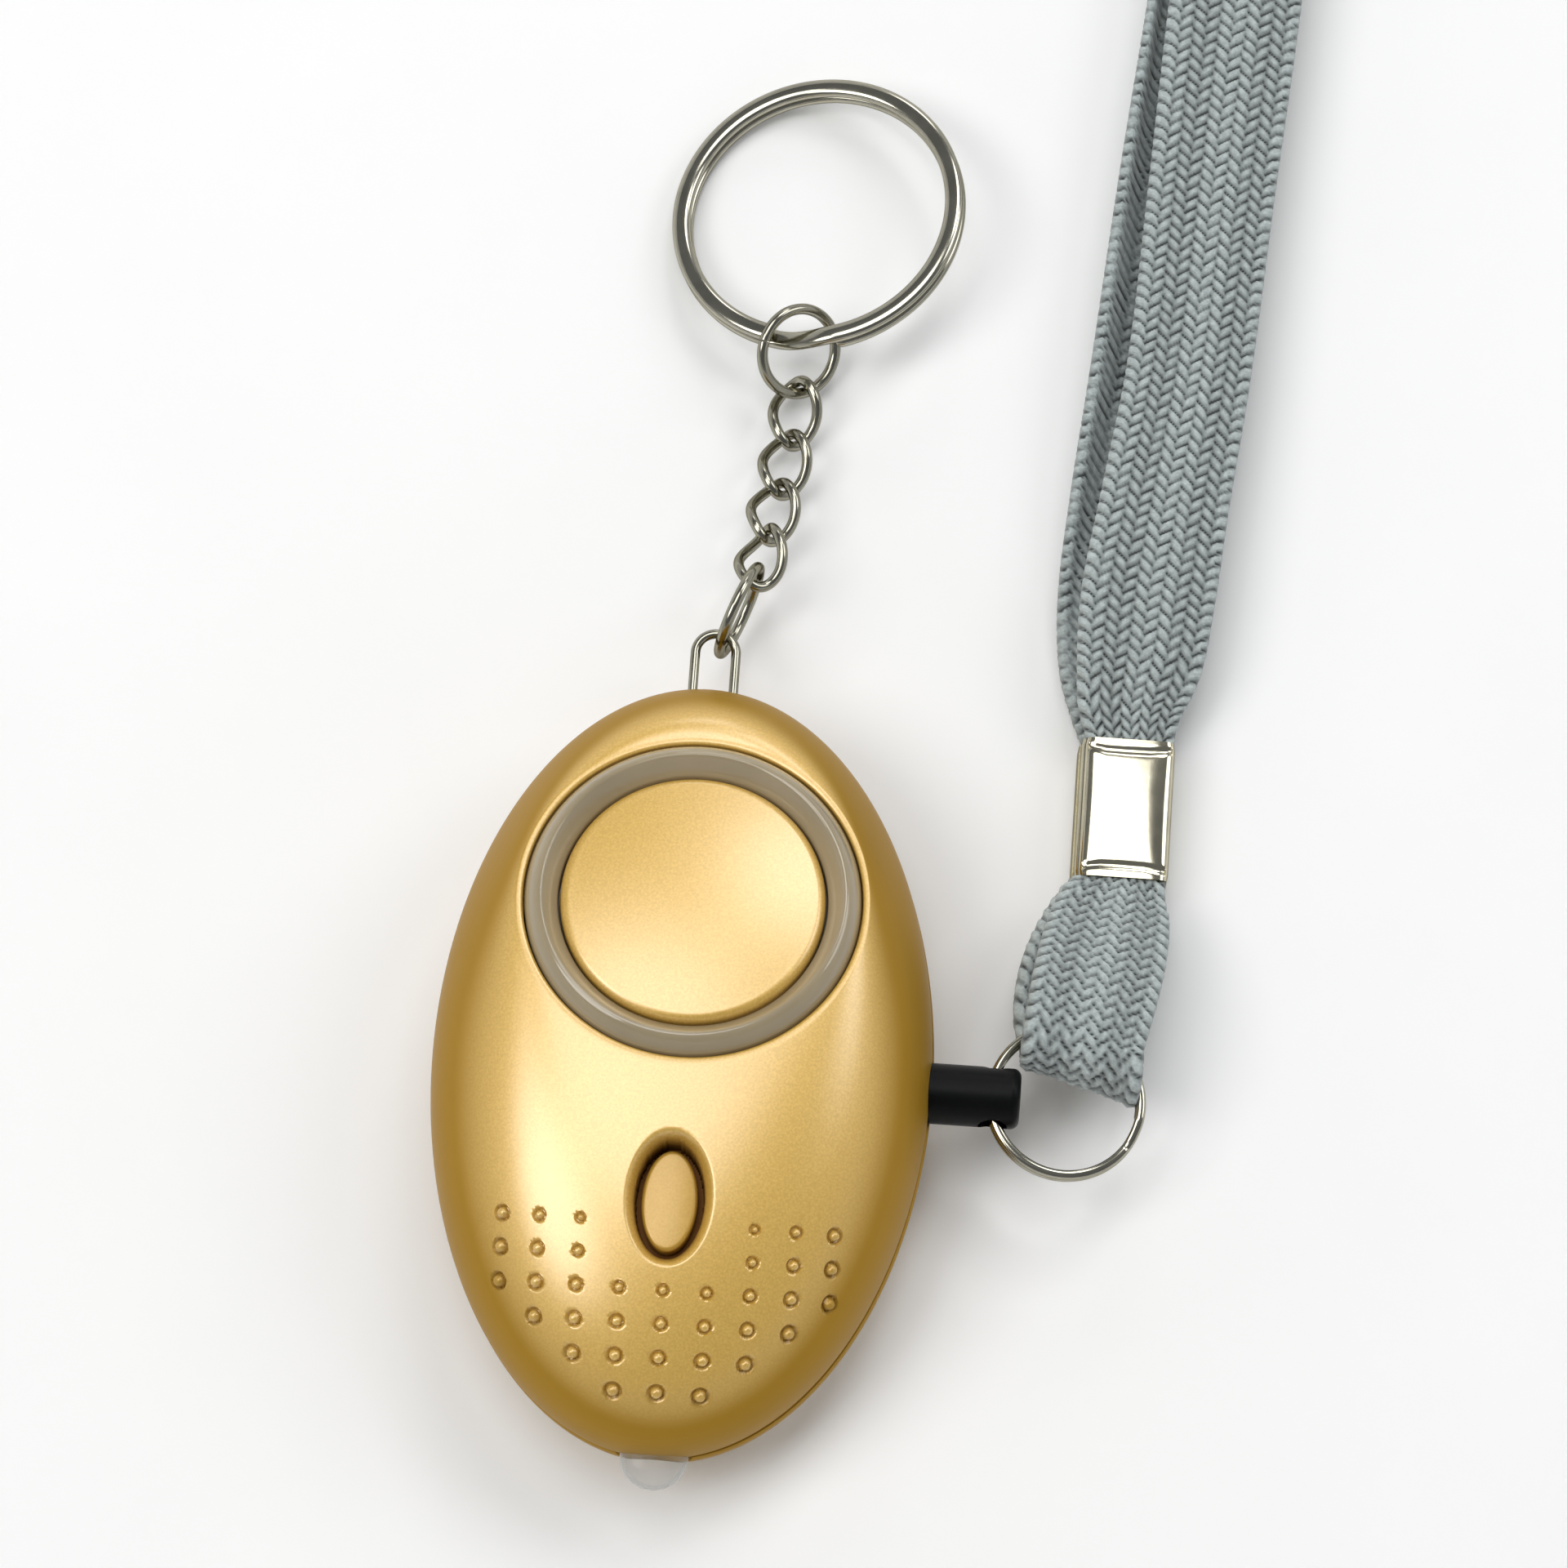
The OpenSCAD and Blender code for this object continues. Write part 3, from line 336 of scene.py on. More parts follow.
def revolved(profile, segments, turn=None, offset=(0, 0, 0)):
    """A profile of radius and height carried round an axis, then turned and moved into place."""
    a = turns(segments)
    r, z = np.asarray(profile, float).T[..., None]
    local = joined(r * np.cos(a), r * np.sin(a), z)
    return local @ (np.eye(3) if turn is None else turn) + np.asarray(offset, float)


def swept(path, section, across, over, closed):
    """A section carried along a path: each section point lies so far across and so far over the path."""
    points = path[:, None] + section[..., 0:1] * across[:, None] + section[..., 1:2] * over[:, None]
    rows, cols = points.shape[:2]
    flat = points.reshape(-1, 3)
    quads = grid_quads(rows, cols, wrap_rows=closed)
    if closed:
        return flat, quads, None
    hubs = np.stack([points[0].mean(0), points[-1].mean(0)])
    tris = np.vstack([fan(0, cols, rows * cols, True), fan((rows - 1) * cols, cols, rows * cols + 1, False)])
    return np.vstack([flat, hubs]), quads, tris


def oval_section(wide, high, power, count):
    """Rounded outline: cosine and sine, each raised to a power that squares it off."""
    a = turns(count)
    c, s = np.cos(a), np.sin(a)
    return joined(wide * np.sign(c) * np.abs(c) ** power, high * np.sign(s) * np.abs(s) ** power)


def wire(name, path, radius, lift=(0.0, 0.0, 1.0)):
    """Round wire along an open path, with its section square to the path's direction."""
    t = unit(np.gradient(path, axis=0))
    across = unit(np.cross(t, lift))
    section = oval_section(radius, radius, 1.0, 16)[None]
    return skin(name, *swept(path, section, across, np.cross(across, t), False))


def siren_place(local):
    """Points of the siren's tilted frame in the part's frame."""
    x, y, z = np.moveaxis(np.asarray(local, float), -1, 0)
    c, s = np.cos(SIREN_TILT), np.sin(SIREN_TILT)
    return joined(x, SIREN_Y + y * c + z * s, SIREN_Z - y * s + z * c)


class Look:
    """A material in the making, with its shader and the object's own coordinates."""

    def __init__(self, name):
        self.material = bpy.data.materials.new(name)
        self.material.use_nodes = True
        self.tree = self.material.node_tree
        self.shader = self.tree.nodes["Principled BSDF"]
        self.at = self.node("ShaderNodeTexCoord").outputs["Object"]

    def node(self, kind, links=(), **settings):
        """Shader node with its options and socket values set and its inputs linked."""
        made = self.tree.nodes.new(kind)
        for key, value in settings.items():
            if key in made.inputs:
                made.inputs[key].default_value = value
            else:
                setattr(made, key, value)
        for key, source in dict(links).items():
            self.tree.links.new(source, made.inputs[key])
        return made

    def set(self, **values):
        """Puts plain values on the shader's sockets."""
        for key, value in values.items():
            self.shader.inputs[key.replace("_", " ")].default_value = value

    def feed(self, **sources):
        """Links results into the shader's sockets."""
        for key, source in sources.items():
            self.tree.links.new(source, self.shader.inputs[key.replace("_", " ")])

    def stored(self, name):
        """Number kept at each point of the mesh."""
        return self.node("ShaderNodeAttribute", attribute_name=name).outputs["Fac"]

    def math(self, operation, *sources):
        return self.node("ShaderNodeMath", enumerate(sources), operation=operation).outputs["Value"]

    def noise(self, scale, detail=3.0):
        settings = {"Scale": scale, "Detail": detail, "Roughness": 0.55}
        return self.node("ShaderNodeTexNoise", {"Vector": self.at}, **settings).outputs["Fac"]

    def two_tone(self, factor, low, high, start, end):
        """Colour that runs from one tone to another as a factor runs between two limits."""
        ramp = self.node("ShaderNodeValToRGB", {"Fac": factor})
        for stop, place, tone in zip(ramp.color_ramp.elements, (start, end), (low, high)):
            stop.position = place
            stop.color = (*tone, 1)
        return ramp.outputs["Color"]

    def mixed(self, factor, low, high):
        """Colour between a plain one and a linked one."""
        made = self.node("ShaderNodeMix", {"Factor": factor}, data_type="RGBA", A=(*low, 1))
        self.tree.links.new(high, made.inputs["B"])
        return made.outputs["Result"]

    def span(self, factor, low, high, start=0.0, end=1.0):
        """Number that runs from low to high as a factor runs from start to end."""
        limits = {"From Min": start, "From Max": end, "To Min": low, "To Max": high}
        return self.node("ShaderNodeMapRange", {"Value": factor}, **limits).outputs["Result"]

    def bump(self, height, strength, distance):
        made = self.node("ShaderNodeBump", {"Height": height}, Strength=strength, Distance=distance)
        self.feed(Normal=made.outputs["Normal"])


@functools.cache
def gold_paint():
    """Satin metallic paint, a fine flake under lacquer, with painted shade on steep walls and in the recesses
    round the button and the beads, and less lacquer where either is painted.
    """
    look = Look("gold_paint")
    flake = look.noise(5200.0, 2.0)
    # Stored shares of painted shade: one for steep walls, which also darkens the button's face, and one for
    # the button's well, its bevel and the bead moats
    thin, well = look.stored("thin"), look.stored("well")
    full = look.two_tone(flake, finish().gold, finish().gold_flake, 0.36, 0.68)
    # Painted shade on steep walls, then painted shade in the recesses over it
    walls = look.mixed(look.span(thin, 1, 0), finish().gold_shade_and_dull, full)
    look.feed(Base_Color=look.mixed(look.span(well, 1, 0), finish().gold_recess_shade, walls),
              Coat_Weight=look.span(look.math("MAXIMUM", thin, well), 0.9, 0),
              Roughness=look.span(look.noise(60.0, 2.0), 0.40, 0.48))
    look.set(Metallic=0.32, Coat_Roughness=0.30, Coat_IOR=2.3, Specular_IOR_Level=0.1)
    look.bump(flake, 0.1, 0.00006)
    return look.material


def plain_metal(name, colour, low, high):
    """Plated metal: roughness that drifts a little, with fine drawn marks and darker edges."""
    look = Look(name)
    tone = look.noise(420.0, 4.0)
    dark = tuple(0.86 * v for v in colour)
    look.feed(Base_Color=look.two_tone(tone, dark, colour, 0.3, 0.6), Roughness=look.span(tone, low, high))
    look.set(Metallic=1.0, Specular_Tint=(0.42, 0.40, 0.34, 1))
    look.bump(look.noise(1500.0), 0.05, 0.00003)
    return look.material


@functools.cache
def nickel_plate():
    return plain_metal("nickel_plate", finish().nickel, 0.12, 0.2)


def smoke_plastic():
    """Glossy smoky plastic with a soft drift of tone."""
    look = Look("smoke_plastic")
    pale = tuple(1.18 * v for v in finish().smoke)
    look.feed(Base_Color=look.two_tone(look.noise(90.0, 2.0), finish().smoke, pale, 0.3, 0.7))
    look.set(Roughness=0.13, Coat_Weight=0.5, Coat_Roughness=0.05, Subsurface_Weight=0.15,
             Subsurface_Radius=(0.002, 0.0018, 0.0014))
    look.bump(look.noise(700.0), 0.03, 0.00003)
    return look.material


def clear_lens():
    """Clear cast resin of the torch LED: faint face on and denser towards its edge, as glass is."""
    look = Look("clear_lens")
    edge = look.node("ShaderNodeLayerWeight", Blend=0.35).outputs["Facing"]
    look.feed(Roughness=look.span(look.noise(300.0), 0.02, 0.07), Alpha=look.span(edge, 0.14, 0.85))
    look.set(Base_Color=(0.62, 0.64, 0.64, 1), Coat_Weight=0.8, Coat_Roughness=0.03)
    return look.material


def moulded(name, colour, rough, grain=900.0):
    """Moulded plastic with a fine grain and a slight drift of tone."""
    look = Look(name)
    tone = look.noise(240.0)
    pale = tuple(min(1.0, 1.25 * v) for v in colour)
    look.feed(Base_Color=look.two_tone(tone, colour, pale, 0.3, 0.75),
              Roughness=look.span(tone, rough - 0.06, rough + 0.06))
    look.set(Specular_IOR_Level=0.1)
    look.bump(look.noise(grain), 0.12, 0.00004)
    return look.material


def braided_yarn():
    """Yarn: each stitch has fine strands along it, and painted shade darkens the gaps between stitches."""
    look = Look("braided_yarn")
    pale, dull, gap_shade = (tuple(share * v for v in finish().braid) for share in (1.22, 0.86, 0.14))
    body = look.two_tone(look.noise(2600.0), dull, pale, 0.32, 0.7)
    # Painted shade: the lower a point lies between stitches, the closer it goes to the near-black gap colour
    look.feed(Base_Color=look.mixed(look.span(look.stored("rise"), 0, 1, 0.3, 0.92), gap_shade, body))
    look.set(Roughness=0.88, Sheen_Weight=0.25, Sheen_Roughness=0.5, Specular_IOR_Level=0.25)
    look.bump(look.math("SINE", look.stored("strand")), 0.22, 0.00006)
    return look.material


def floor_paper():
    """Matt white paper with a faint drift of tone."""
    look = Look("floor_paper")
    low = tuple(0.985 * v for v in finish().floor)
    look.feed(Base_Color=look.two_tone(look.noise(40.0), low, finish().floor, 0.3, 0.7))
    look.set(Roughness=0.9, Specular_IOR_Level=0.1)
    return look.material


def stand(thing, right, back, place):
    """Puts a lamp or camera in its place, with its right side and its back turned these ways."""
    turn = np.eye(4)
    turn[:3, :3] = np.stack([right, np.cross(back, right), back], -1)
    turn[:3, 3] = place
    thing.matrix_world = Matrix(turn.tolist())


class ALARM_OT_stage(bpy.types.Operator):
    """Floor, lamps, world and the camera at the picture's view."""
    bl_idname = "alarm.stage"
    bl_label = "Stage"

    def execute(self, context):
        context.scene.view_settings.view_transform = "Standard"
        self.floor()
        world = bpy.data.worlds.new("studio")
        world.use_nodes = True
        background = world.node_tree.nodes["Background"].inputs
        background["Color"].default_value = WORLD_TONE
        background["Strength"].default_value = WORLD_LEVEL
        context.scene.world = world
        for settings in LAMPS:
            self.lamp(*settings)
        context.scene.camera = self.camera()
        return {"FINISHED"}

    @staticmethod
    def floor():
        """Flat paper that sweeps up into a wall, far from the part."""
        low, flat, wall, sweep, top, sides = -0.02, 500, 1500, 400, 900, 96
        curve = arc((wall - sweep, low + sweep), sweep, -90, 0, 14)
        bowl = np.vstack([[(0, low), (flat, low)], curve, [(wall, top)]])
        floor = skin("floor", revolved(bowl, sides), grid_quads(len(bowl), sides))
        floor.data.materials.append(floor_paper())

    @staticmethod
    def lamp(name, place, size, power, colour):
        light = bpy.data.lights.new(name, "AREA")
        light.shape = "DISK"
        light.size = size
        light.energy = power
        light.color = colour
        back = unit(np.array(place) - LAMP_AIM)
        stand(linked(name, light), unit(np.cross([0.0, 1.0, 0.0], back)), back, place)

    @staticmethod
    def camera():
        lens = bpy.data.cameras.new("camera")
        lens.sensor_fit = "HORIZONTAL"
        lens.sensor_width = SENSOR
        lens.lens = CAMERA_LENS
        lens.clip_start = 0.01
        camera = linked("camera", lens)
        a, e = np.radians([CAMERA_TURN, CAMERA_RISE])
        back = np.array([np.sin(a) * np.cos(e), -np.cos(a) * np.cos(e), np.sin(e)])
        stand(camera, np.array([np.cos(a), np.sin(a), 0]), back, CAMERA_AT)
        return camera


def curve_through(route, fine, coarse, share):
    """Smooth curve through a route's points, each with its width, turn, cup, curl and the curl's start.

    Each span is a cubic from the points beside it. The result is spaced by its length, in fine steps over
    the first share of it and in coarse steps after that."""
    knots = np.array([tuple(p) + (0, 0, 0.6)[len(p) - 5:] for p in route], float)
    padded = np.vstack([2 * knots[0] - knots[1], knots, 2 * knots[-1] - knots[-2]])
    gaps = np.sqrt(np.linalg.norm(np.diff(padded[:, :3], axis=0), axis=1))
    at = np.concatenate([[0], np.cumsum(gaps)])
    slope = np.gradient(padded, at, axis=0)[1:-1]
    u = even(0, 1, 60)[None, :, None]
    h = gaps[1:-1, None, None]
    a, b = knots[:-1, None], knots[1:, None]
    da, db = slope[:-1, None] * h, slope[1:, None] * h
    dense = ((2 * u ** 3 - 3 * u ** 2 + 1) * a + (u ** 3 - 2 * u ** 2 + u) * da
             + (3 * u ** 2 - 2 * u ** 3) * b + (u ** 3 - u ** 2) * db).reshape(-1, 8)
    dense = np.vstack([dense, knots[-1]])
    length = np.concatenate([[0], np.cumsum(np.linalg.norm(np.diff(dense[:, :3], axis=0), axis=1))])
    change = share * length[-1]
    at = np.concatenate([even(0, change, int(change / fine)),
                         np.linspace(change, length[-1], int((length[-1] - change) / coarse))])
    return np.stack([np.interp(at, length, dense[:, k]) for k in range(8)], -1), at


def strap_outline(columns):
    """Outline round the strap, counted in columns: half an edge, the upper face, an edge, the lower face.

    Gives the count, the place across from -1 to 1 and the outward direction as an angle."""
    face, edge, under = (1 / n for n in STEPS)
    upper = np.arange(0.5, columns + 0.5, face)
    left = np.arange(columns + 0.5, columns + 1.5, edge)
    lower = np.arange(columns + 1.5, 2 * columns + 1.5, under)
    right = np.arange(2 * columns + 1.5, 2 * columns + 2.5, edge)
    q = np.concatenate([upper, left, lower, right])
    across = np.concatenate([1 - 2 * (upper - 0.5) / columns, -1 + 0 * left,
                             2 * (lower - columns - 1.5) / columns - 1, 1 + 0 * right])
    angle = np.concatenate([90 + 0 * upper, 90 + 180 * (left - columns - 0.5), 270 + 0 * lower,
                            270 + 180 * (right - 2 * columns - 1.5)])
    return q, across, np.radians(angle)


def braid(name, route, fine, coarse, share):
    """Flat braid: stitches slant one way in every other column and the other way between, so they meet
    in points. A stitch is round both ways and reaches past its column, and the higher of two is kept."""
    rows, at = curve_through(route, fine, coarse, share)
    q, side, angle = strap_outline(form().braid_columns)
    column = np.floor(q)
    rise, strand = np.zeros((len(at), len(q))), np.zeros((len(at), len(q)))
    for step in (-1, 0, 1):
        u = 2 * (q - column - step) - 1
        slant = np.where((column + step) % 2 == 0, 1.0, -1.0)
        drift = WANDER * np.sin(0.9 * at[:, None] + 2.4 * (column + step))
        phase = at[:, None] / form().braid_pitch + (SLANT * u + 0.25) * slant + drift
        v = 2 * (phase - np.floor(phase)) - 1
        lump = 1 + LUMPS * np.sin(37.7 * np.floor(phase) + 5.1 * (column + step))
        stitch = lump * (1 - np.abs(v) ** 2.3) ** 0.6 * np.sqrt(np.clip(1 - (u / REACH) ** 2, 0, 1))
        strand = np.where(stitch > rise, STRANDS * np.pi * v, strand)
        rise = np.maximum(rise, stitch)

    half_t = STRAP_T / 2 - 0.24
    edge_t = 0.88 * half_t
    body = half_t + (edge_t - half_t) * side ** 4
    width = rows[:, 3:4] / 2
    radius = body + form().braid_relief * (rise - 0.5)
    x = (width - edge_t) * side + radius * np.cos(angle)
    z = radius * np.sin(angle)

    path, turn, cup = rows[:, :3], np.radians(rows[:, 4]), rows[:, 5]
    curl, start = rows[:, 6:7], rows[:, 7:8]
    t = unit(np.gradient(path, axis=0))
    face = joined(np.cos(turn), -np.sin(turn), -cup * np.tan(RING_DROOP))
    across = unit(face - (face * t).sum(-1, keepdims=True) * t)
    points, quads, tris = swept(path, joined(x, z), across, np.cross(across, t), False)
    pull = joined(-np.sin(turn), -np.cos(turn), 0)
    bow = FOLD_BOW * cup[:, None] * (x / width) ** 2
    lift = curl * smooth((-x / width - start) / (0.93 - start))
    points[:-2] += (bow[..., None] * pull[:, None] + lift[..., None] * [0, 0, 1]).reshape(-1, 3)
    ends = np.zeros(2)
    values = {"rise": np.concatenate([rise.ravel(), ends]),
              "strand": np.concatenate([strand.ravel(), ends])}
    uv = joined(q / q.max(), at[:, None] / at[-1]).reshape(-1, 2)
    return skin(name, points, quads, tris, np.vstack([uv, np.zeros((2, 2))]), values, sharp=0), path, at[-1]


class ALARM_OT_straps(bpy.types.Operator):
    """Braided wrist loop and the short loop round the pin ring."""
    bl_idname = "alarm.straps"
    bl_label = "Straps"

    def execute(self, context):
        yarn = braided_yarn()
        loop, _, _ = braid("ring_loop_braid", LOOP_ROUTE, 0.13, 0.25, 0.6)
        dress(loop, yarn, "strap", ["ring_strap_loop"])
        piece, path, length = braid("wrist_strap_braid", WRIST_ROUTE, 0.15, 0.275, 0.28)
        dress(piece, yarn, "strap", ["wrist_strap"])
        return {"FINISHED"}


def dome_height(x, y):
    """Height of the front: the parting plane plus the dome's height times a superellipse of the distance."""
    rho = np.hypot((x - FRONT_MID[0]) / HALF_WID, (y - FRONT_MID[1]) / HALF_LEN)
    return PART_Z + FRONT_H * np.clip(1 - rho ** FRONT_ROUND, 0, 1) ** (1 / FRONT_ROUND)


def button_distance(x, y):
    """Distance from the button hole's edge, less than nothing inside, and the outward direction."""
    a, b = HOLE_HALF
    v = y - BUTTON_Y
    f = np.sqrt((x / a) ** 2 + (v / b) ** 2) + 1e-9
    gx, gy = x / a ** 2 / f, v / b ** 2 / f
    size = np.hypot(gx, gy) + 1e-9
    return (f - 1) / size, gx / size, gy / size


def in_bores(p):
    """Whether a point lies in the pin's or the torch's bore."""
    x, y, z = p[..., 0], p[..., 1], p[..., 2] - PART_Z
    pin = (x > 0) & (y ** 2 + z ** 2 < (PIN_R + FIT) ** 2)
    flat = np.where(z > 0, LED_R / LED_TOP, 1.0)
    torch = (y < 0) & (x ** 2 + (flat * z) ** 2 < (LED_R + FIT) ** 2)
    return pin | torch


def bead_places():
    """Places of the grip beads: six rows that narrow towards the torch."""
    first, last = np.array([(2, 4), (2, 4), (0, 4), (0, 3), (0, 2), (0, 1)]).T[..., None]
    row, col = np.meshgrid(np.arange(len(first)), np.arange(-4, 5), indexing="ij")
    keep = (np.abs(col) >= first) & (np.abs(col) <= last)
    x = (BEAD_PITCH[0] * col - BEAD_SQUEEZE * col ** 3)[keep]
    y = (BEAD_FIRST - BEAD_PITCH[1] * row)[keep] + BEAD_BOW * x ** 2
    return joined(x, y, dome_height(x, y))


def front_surface(alpha, s):
    """Smooth outside of the front shell: polar lines from the siren's rim to the parting plane.

    alpha turns from +Y to +X and s runs along each line. Close to the rim the dome is brought to the
    rim's plane."""
    c, t = np.cos(SIREN_TILT), np.sin(SIREN_TILT)
    sx, sy = RIM_R * np.sin(alpha), RIM_R * np.cos(alpha) * c
    start = np.hypot(sx, sy)
    dx, dy = sx / start, sy / start
    qa = (dx / HALF_WID) ** 2 + (dy / HALF_LEN) ** 2
    mx, my = -FRONT_MID[0] / HALF_WID, (SIREN_Y - FRONT_MID[1]) / HALF_LEN
    qb = 2 * (mx * dx / HALF_WID + my * dy / HALF_LEN)
    qc = mx ** 2 + my ** 2 - 1
    reach = (-qb + np.sqrt(qb ** 2 - 4 * qa * qc)) / (2 * qa)
    r = start + (reach - start) * s
    x, y = dx * r, SIREN_Y + dy * r
    d, gx, gy = button_distance(x, y)
    near = np.where(np.abs(d) < 0.085, d, 0.0)
    x, y = x - near * gx, y - near * gy
    rim_z = SIREN_Z - RIM_R * np.cos(alpha) * t
    z = dome_height(x, y)
    fade = np.clip(1 - (r - start) / (0.92 * (reach - start)), 0, 1) ** 2.2
    return joined(x, y, z + (rim_z - z) * fade)


def painted_wall_shade(n):
    """Share of painted shade, from none on faces that look up or down to all on steep walls."""
    return smooth((0.93 - np.abs(n[..., 2])) / 0.32)


def grid_normals(p):
    """Unit normals of a grid from the cross product of its two directions."""
    u = np.gradient(p, axis=0)
    v = np.roll(p, -1, 1) - np.roll(p, 1, 1)
    return unit(np.cross(u, v) + 1e-12)


def pieced(*spans):
    """Angles in degrees in spans of even steps, as radians."""
    return np.radians(np.concatenate([np.arange(a, b - 1e-6, step) for a, b, step in spans]))


def first_in_bore(surface, alpha):
    """Share of each line at which it meets a bore, or 1."""
    s = crowded(0.3, 900)
    inside = in_bores(surface(alpha[None, :], s[:, None]))
    first = np.argmax(inside, axis=0)
    return np.where(inside.any(0), s[first], 1.0)


def front_grid():
    """Closed shell: siren wall, lip, outside with beads and button recess, parting edge and inside."""
    alpha = pieced((0, 112, 2.2), (112, 131, 0.9), (131, 151.5, 1.6), (151.5, 208.5, 0.254),
                   (208.5, 360, 2.2))
    s = np.concatenate([even(0, 0.12, 8), even(0.12, 0.40, 36), even(0.40, 0.93, 150), crowded(0.07, 26)])
    end = first_in_bore(front_surface, alpha)
    base = front_surface(alpha[None, :], s[:, None] * end[None, :])
    n = grid_normals(base)
    n = n * np.sign(n[0, :, 2].mean())

    outer = base.copy()
    beads = bead_places()
    rho = np.hypot(beads[:, 0] / HALF_WID, beads[:, 1] / HALF_LEN)
    radius = BEAD_R + BEAD_GROWTH * np.clip((rho - 0.52) / 0.35, 0, 1)
    area = (base[..., 1] < -12) & (np.abs(base[..., 0]) < 16)
    spot = base[area]
    away = spot[:, None] - beads[None]
    gap = np.linalg.norm(away, axis=-1)
    which = np.argmin(gap / radius, axis=1)
    pick = np.arange(len(spot))
    d, r, away = gap[pick, which], radius[which], unit(away[pick, which] + 1e-9)
    foot, moat, close = 0.7 * r, 1.55 * r, 0.06
    snap = np.where(np.abs(d - r) < close, r - d, np.where(np.abs(d - moat) < close, moat - d, 0.0))
    spot = spot + snap[:, None] * away
    d = d + snap
    dome = form().bead_height * (r / 0.45) * np.sqrt(np.clip(1 - (d / r) ** 2, 0, 1))
    ditch = form().moat_depth * np.sin(np.pi * np.clip((d - foot) / (moat - foot), 0, 1)) ** 1.1
    outer[area] = spot + n[area] * (dome - ditch)[:, None]

    gap, _, _ = button_distance(base[..., 0], base[..., 1])
    funnel = 1 - np.clip(gap / 0.75, 0, 1)
    outer[..., 2] -= form().bevel_depth * funnel ** 1.35
    hole = gap < -0.04
    outer[hole, 2] = WELL_FLOOR

    seam = 0.22 * np.exp(-np.clip(base[..., 2] - PART_Z, 0, None) / 0.2)
    outer -= n * seam[..., None]

    wall_r, wall_foot, foot_r = SIREN_R + 0.03, -3.9, 14.9
    lip = np.vstack([[(wall_r, wall_foot), (wall_r, -1.2)], arc((14.13, -0.3), 0.3, 180, 90, 7),
                     [(14.28, 0.0)]])
    ring, foot = (siren_place(joined(r * np.sin(alpha), r * np.cos(alpha), z))
                  for r, z in (lip.T[..., None], np.array([[[foot_r]], [[wall_foot]]])))
    rows = np.arange(len(s) - 1, -1, -8)
    gap = np.maximum(gap[rows], 0)
    drop = WALL + 2.4 * (1 - smooth((gap - 0.6) / 1.2))
    inner = base[rows] - n[rows] * drop[..., None]
    # Painted shade: darker down the bevel towards the hole, darker with depth in each bead's moat, and full
    # in the well
    recess_shade_paint = 0.7 * funnel ** 1.8
    recess_shade_paint[area] = np.maximum(recess_shade_paint[area], 0.45 * ditch / form().moat_depth)
    recess_shade_paint[hole] = 1
    points = np.vstack([ring, outer, inner, foot])
    paint = {"well": np.zeros(points.shape[:2]), "thin": np.zeros(points.shape[:2])}
    outside = slice(len(lip), len(lip) + len(outer))
    # Painted shade in the recesses
    paint["well"][outside] = recess_shade_paint
    # Painted shade on steep walls
    paint["thin"][outside] = painted_wall_shade(n)
    return points, paint


class ALARM_OT_front_shell(bpy.types.Operator):
    """Upper case half with its siren lip, button recess and grip beads."""
    bl_idname = "alarm.front_shell"
    bl_label = "Front shell"

    def execute(self, context):
        grid, paint = front_grid()
        shell("front_shell_skin", grid, gold_paint(), "case", ["front_shell"], True, paint, 0.9)
        return {"FINISHED"}


def back_surface(phi, s):
    """Outside of the back shell: a superellipse bowl, cut flat at the rest face with an eased corner."""
    x, y = BACK_MID[0] + HALF_WID * s * np.cos(phi), BACK_MID[1] + HALF_LEN * s * np.sin(phi)
    for px, py in SCREWS:
        dx, dy = x - px, y - py
        far = np.hypot(dx, dy) + 1e-9
        near = np.where(np.abs(far - SCREW_WELL_R) < 0.12, SCREW_WELL_R - far, 0.0)
        x, y = x + near * dx / far, y + near * dy / far
    rho = np.hypot((x - BACK_MID[0]) / HALF_WID, (y - BACK_MID[1]) / HALF_LEN)
    bowl = PART_Z - BACK_H * np.clip(1 - rho ** BACK_ROUND, 0, 1) ** (1 / BACK_ROUND)
    return joined(x, y, 0.5 * (bowl + np.sqrt(bowl ** 2 + 0.04)))


def back_grid():
    """Closed shell: inside from the middle to the parting edge, then the outside with its screw wells."""
    phi = pieced((-180, -122, 1.5), (-122, -104, 0.55), (-104, -76, 1.2), (-76, -58, 0.55), (-58, -8, 1.5),
                 (-8, 8, 0.8), (8, 57, 1.5), (57, 75, 0.55), (75, 105, 1.5), (105, 123, 0.55),
                 (123, 180, 1.5))
    s = np.concatenate([even(0, 0.6, 14), even(0.6, 0.95, 44), crowded(0.05, 30)])
    end = first_in_bore(back_surface, phi)
    base = back_surface(phi[None, :], s[:, None] * end[None, :])
    n = grid_normals(base)
    n = n * -np.sign(n[8, :, 2].mean())
    outer = base.copy()
    seam = 0.17 * np.exp(-np.clip(PART_Z - base[..., 2], 0, None) / 0.16)
    outer -= n * seam[..., None]
    inner = base - n * WALL
    for px, py in SCREWS:
        far = np.hypot(base[..., 0] - px, base[..., 1] - py)
        outer[..., 2] = np.where(far < SCREW_WELL_R - 0.06, SCREW_WELL_TOP, outer[..., 2])
        inner[..., 2] = np.where(far < BOSS_R, np.maximum(inner[..., 2], BOSS_FLOOR), inner[..., 2])
    rows = np.unique(np.concatenate([np.arange(0, len(s), 3), [len(s) - 1]]))
    # Painted shade on the steep walls outside; none inside
    thin = np.vstack([np.zeros((len(rows), len(phi))), painted_wall_shade(n)[::-1]])
    return np.vstack([inner[rows], outer[::-1]]), {"thin": thin}


class ALARM_OT_back_shell(bpy.types.Operator):
    """Lower case half with the flat rest face and the screw wells."""
    bl_idname = "alarm.back_shell"
    bl_label = "Back shell"

    def execute(self, context):
        grid, paint = back_grid()
        shell("back_shell_skin", grid, gold_paint(), "case", ["back_shell"], False, paint, 0.9)
        return {"FINISHED"}


